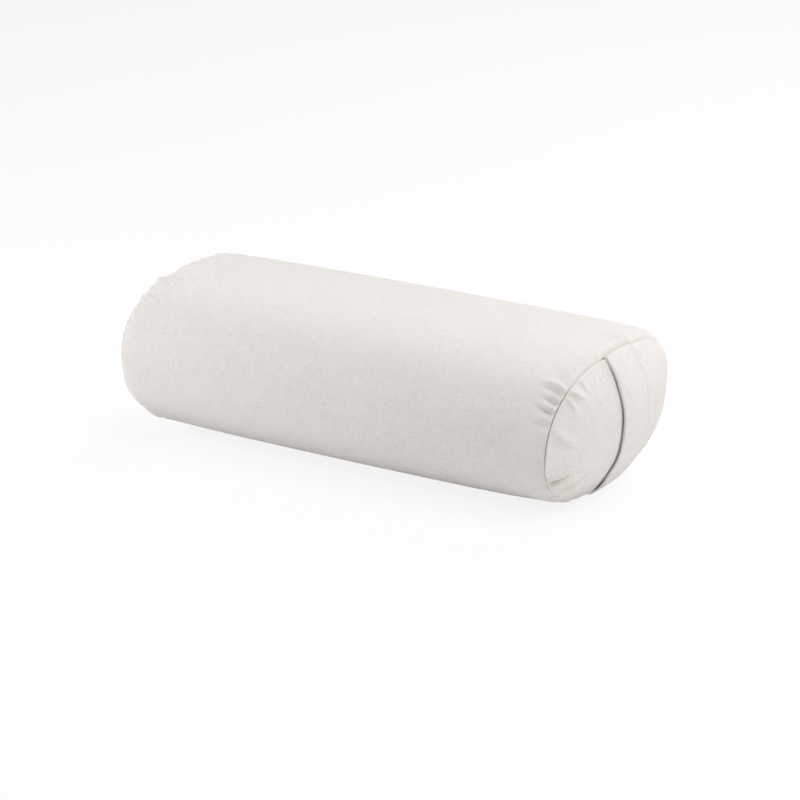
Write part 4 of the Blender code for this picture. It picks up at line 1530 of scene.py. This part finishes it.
def build_world():
    world = bpy.data.worlds.new("studio")
    bpy.context.scene.world = world
    world.use_nodes = True
    tree = world.node_tree
    tree.nodes.clear()
    stage = bpy.context.scene.bolster_stage
    plain = node(tree, "Background", {"Color": (1, 1, 1, 1), "Strength": stage.ambient})
    white = node(tree, "Background", {"Color": (1, 1, 1, 1), "Strength": 1.0})
    path = node(tree, "LightPath")
    # The camera, mirrors and clear things see plain white, and all else the dim surroundings.
    shown = path.outputs["Is Camera Ray"]
    for ray in ("Is Glossy Ray", "Is Transmission Ray"):
        shown = node(tree, "Math", {0: shown, 1: path.outputs[ray]}, operation="MAXIMUM")
    mixed = node(tree, "MixShader", {"Fac": shown, 1: plain, 2: white})
    node(tree, "OutputWorld", {"Surface": mixed})


def build_camera():
    stage = bpy.context.scene.bolster_stage
    a, e = math.radians(stage.azimuth), math.radians(stage.elevation)
    back = Vector((math.sin(a) * math.cos(e), -math.cos(a) * math.cos(e), math.sin(e)))
    data = bpy.data.cameras.new("photo_view")
    data.sensor_width = SENSOR
    data.lens = stage.focal_pixels / PICTURE * SENSOR
    data.shift_x = (PICTURE / 2 - stage.centre_x) / PICTURE
    data.shift_y = (stage.centre_y - PICTURE / 2) / PICTURE
    data.clip_start, data.clip_end = 0.1, 100.0
    camera = bpy.data.objects.new("photo_view", data)
    target = Vector((0.0, 0.0, form().widest_height))
    camera.location = target + back * stage.distance
    camera.rotation_euler = (-back).to_track_quat("-Z", "Y").to_euler()
    bpy.context.collection.objects.link(camera)
    bpy.context.scene.camera = camera


class BOLSTER_OT_stage(bpy.types.Operator):
    """Set up the pale floor, the soft studio light and the camera"""

    bl_idname = "bolster.stage"
    bl_label = "Stage"

    def execute(self, context):
        stage = bpy.context.scene.bolster_stage
        build_floor()
        build_world()
        build_camera()
        add_area("right_light", (1.5, -0.1, 1.35), stage.right, 1.2)
        add_area("left_light", (-1.5, -1.1, 0.8), stage.left, 1.2)
        add_area("top_light", (0.3, -0.1, 2.0), stage.top, 1.2)
        add_area("back_light", (0.3, 2.4, 2.4), stage.back)
        context.scene.view_settings.view_transform = "Standard"
        return {"FINISHED"}


class BOLSTER_PT_panel(bpy.types.Panel):
    """Lists the bolster's sizes, colours and steps"""

    bl_idname = "BOLSTER_PT_panel"
    bl_label = "Bolster"
    bl_space_type = "VIEW_3D"
    bl_region_type = "UI"
    bl_category = "Bolster"

    def draw(self, context):
        for name in GROUPS:
            group = getattr(context.scene, name)
            box = self.layout.box()
            for key in group.__annotations__:
                box.prop(group, key)
        for operator in STEPS:
            self.layout.operator(operator.bl_idname)


GROUPS = {
    "bolster_form": BolsterForm,
    "bolster_cloth": BolsterCloth,
    "bolster_colours": BolsterColours,
    "bolster_stage": BolsterStage,
}
STEPS = (BOLSTER_OT_stage, BOLSTER_OT_cover, BOLSTER_OT_handle, BOLSTER_OT_cushion, BOLSTER_OT_zip)


def register():
    for cls in (*GROUPS.values(), *STEPS, BOLSTER_PT_panel):
        bpy.utils.register_class(cls)
    for name, cls in GROUPS.items():
        setattr(bpy.types.Scene, name, bpy.props.PointerProperty(type=cls))


def unregister():
    for name in GROUPS:
        delattr(bpy.types.Scene, name)
    for cls in (BOLSTER_PT_panel, *reversed(STEPS), *reversed(GROUPS.values())):
        bpy.utils.unregister_class(cls)


def main():
    register()
    bpy.ops.bolster.stage()
    bpy.ops.bolster.cover()
    bpy.ops.bolster.handle()
    bpy.ops.bolster.cushion()
    bpy.ops.bolster.zip()
    bpy.context.view_layer.update()


if __name__ == "__main__":
    main()
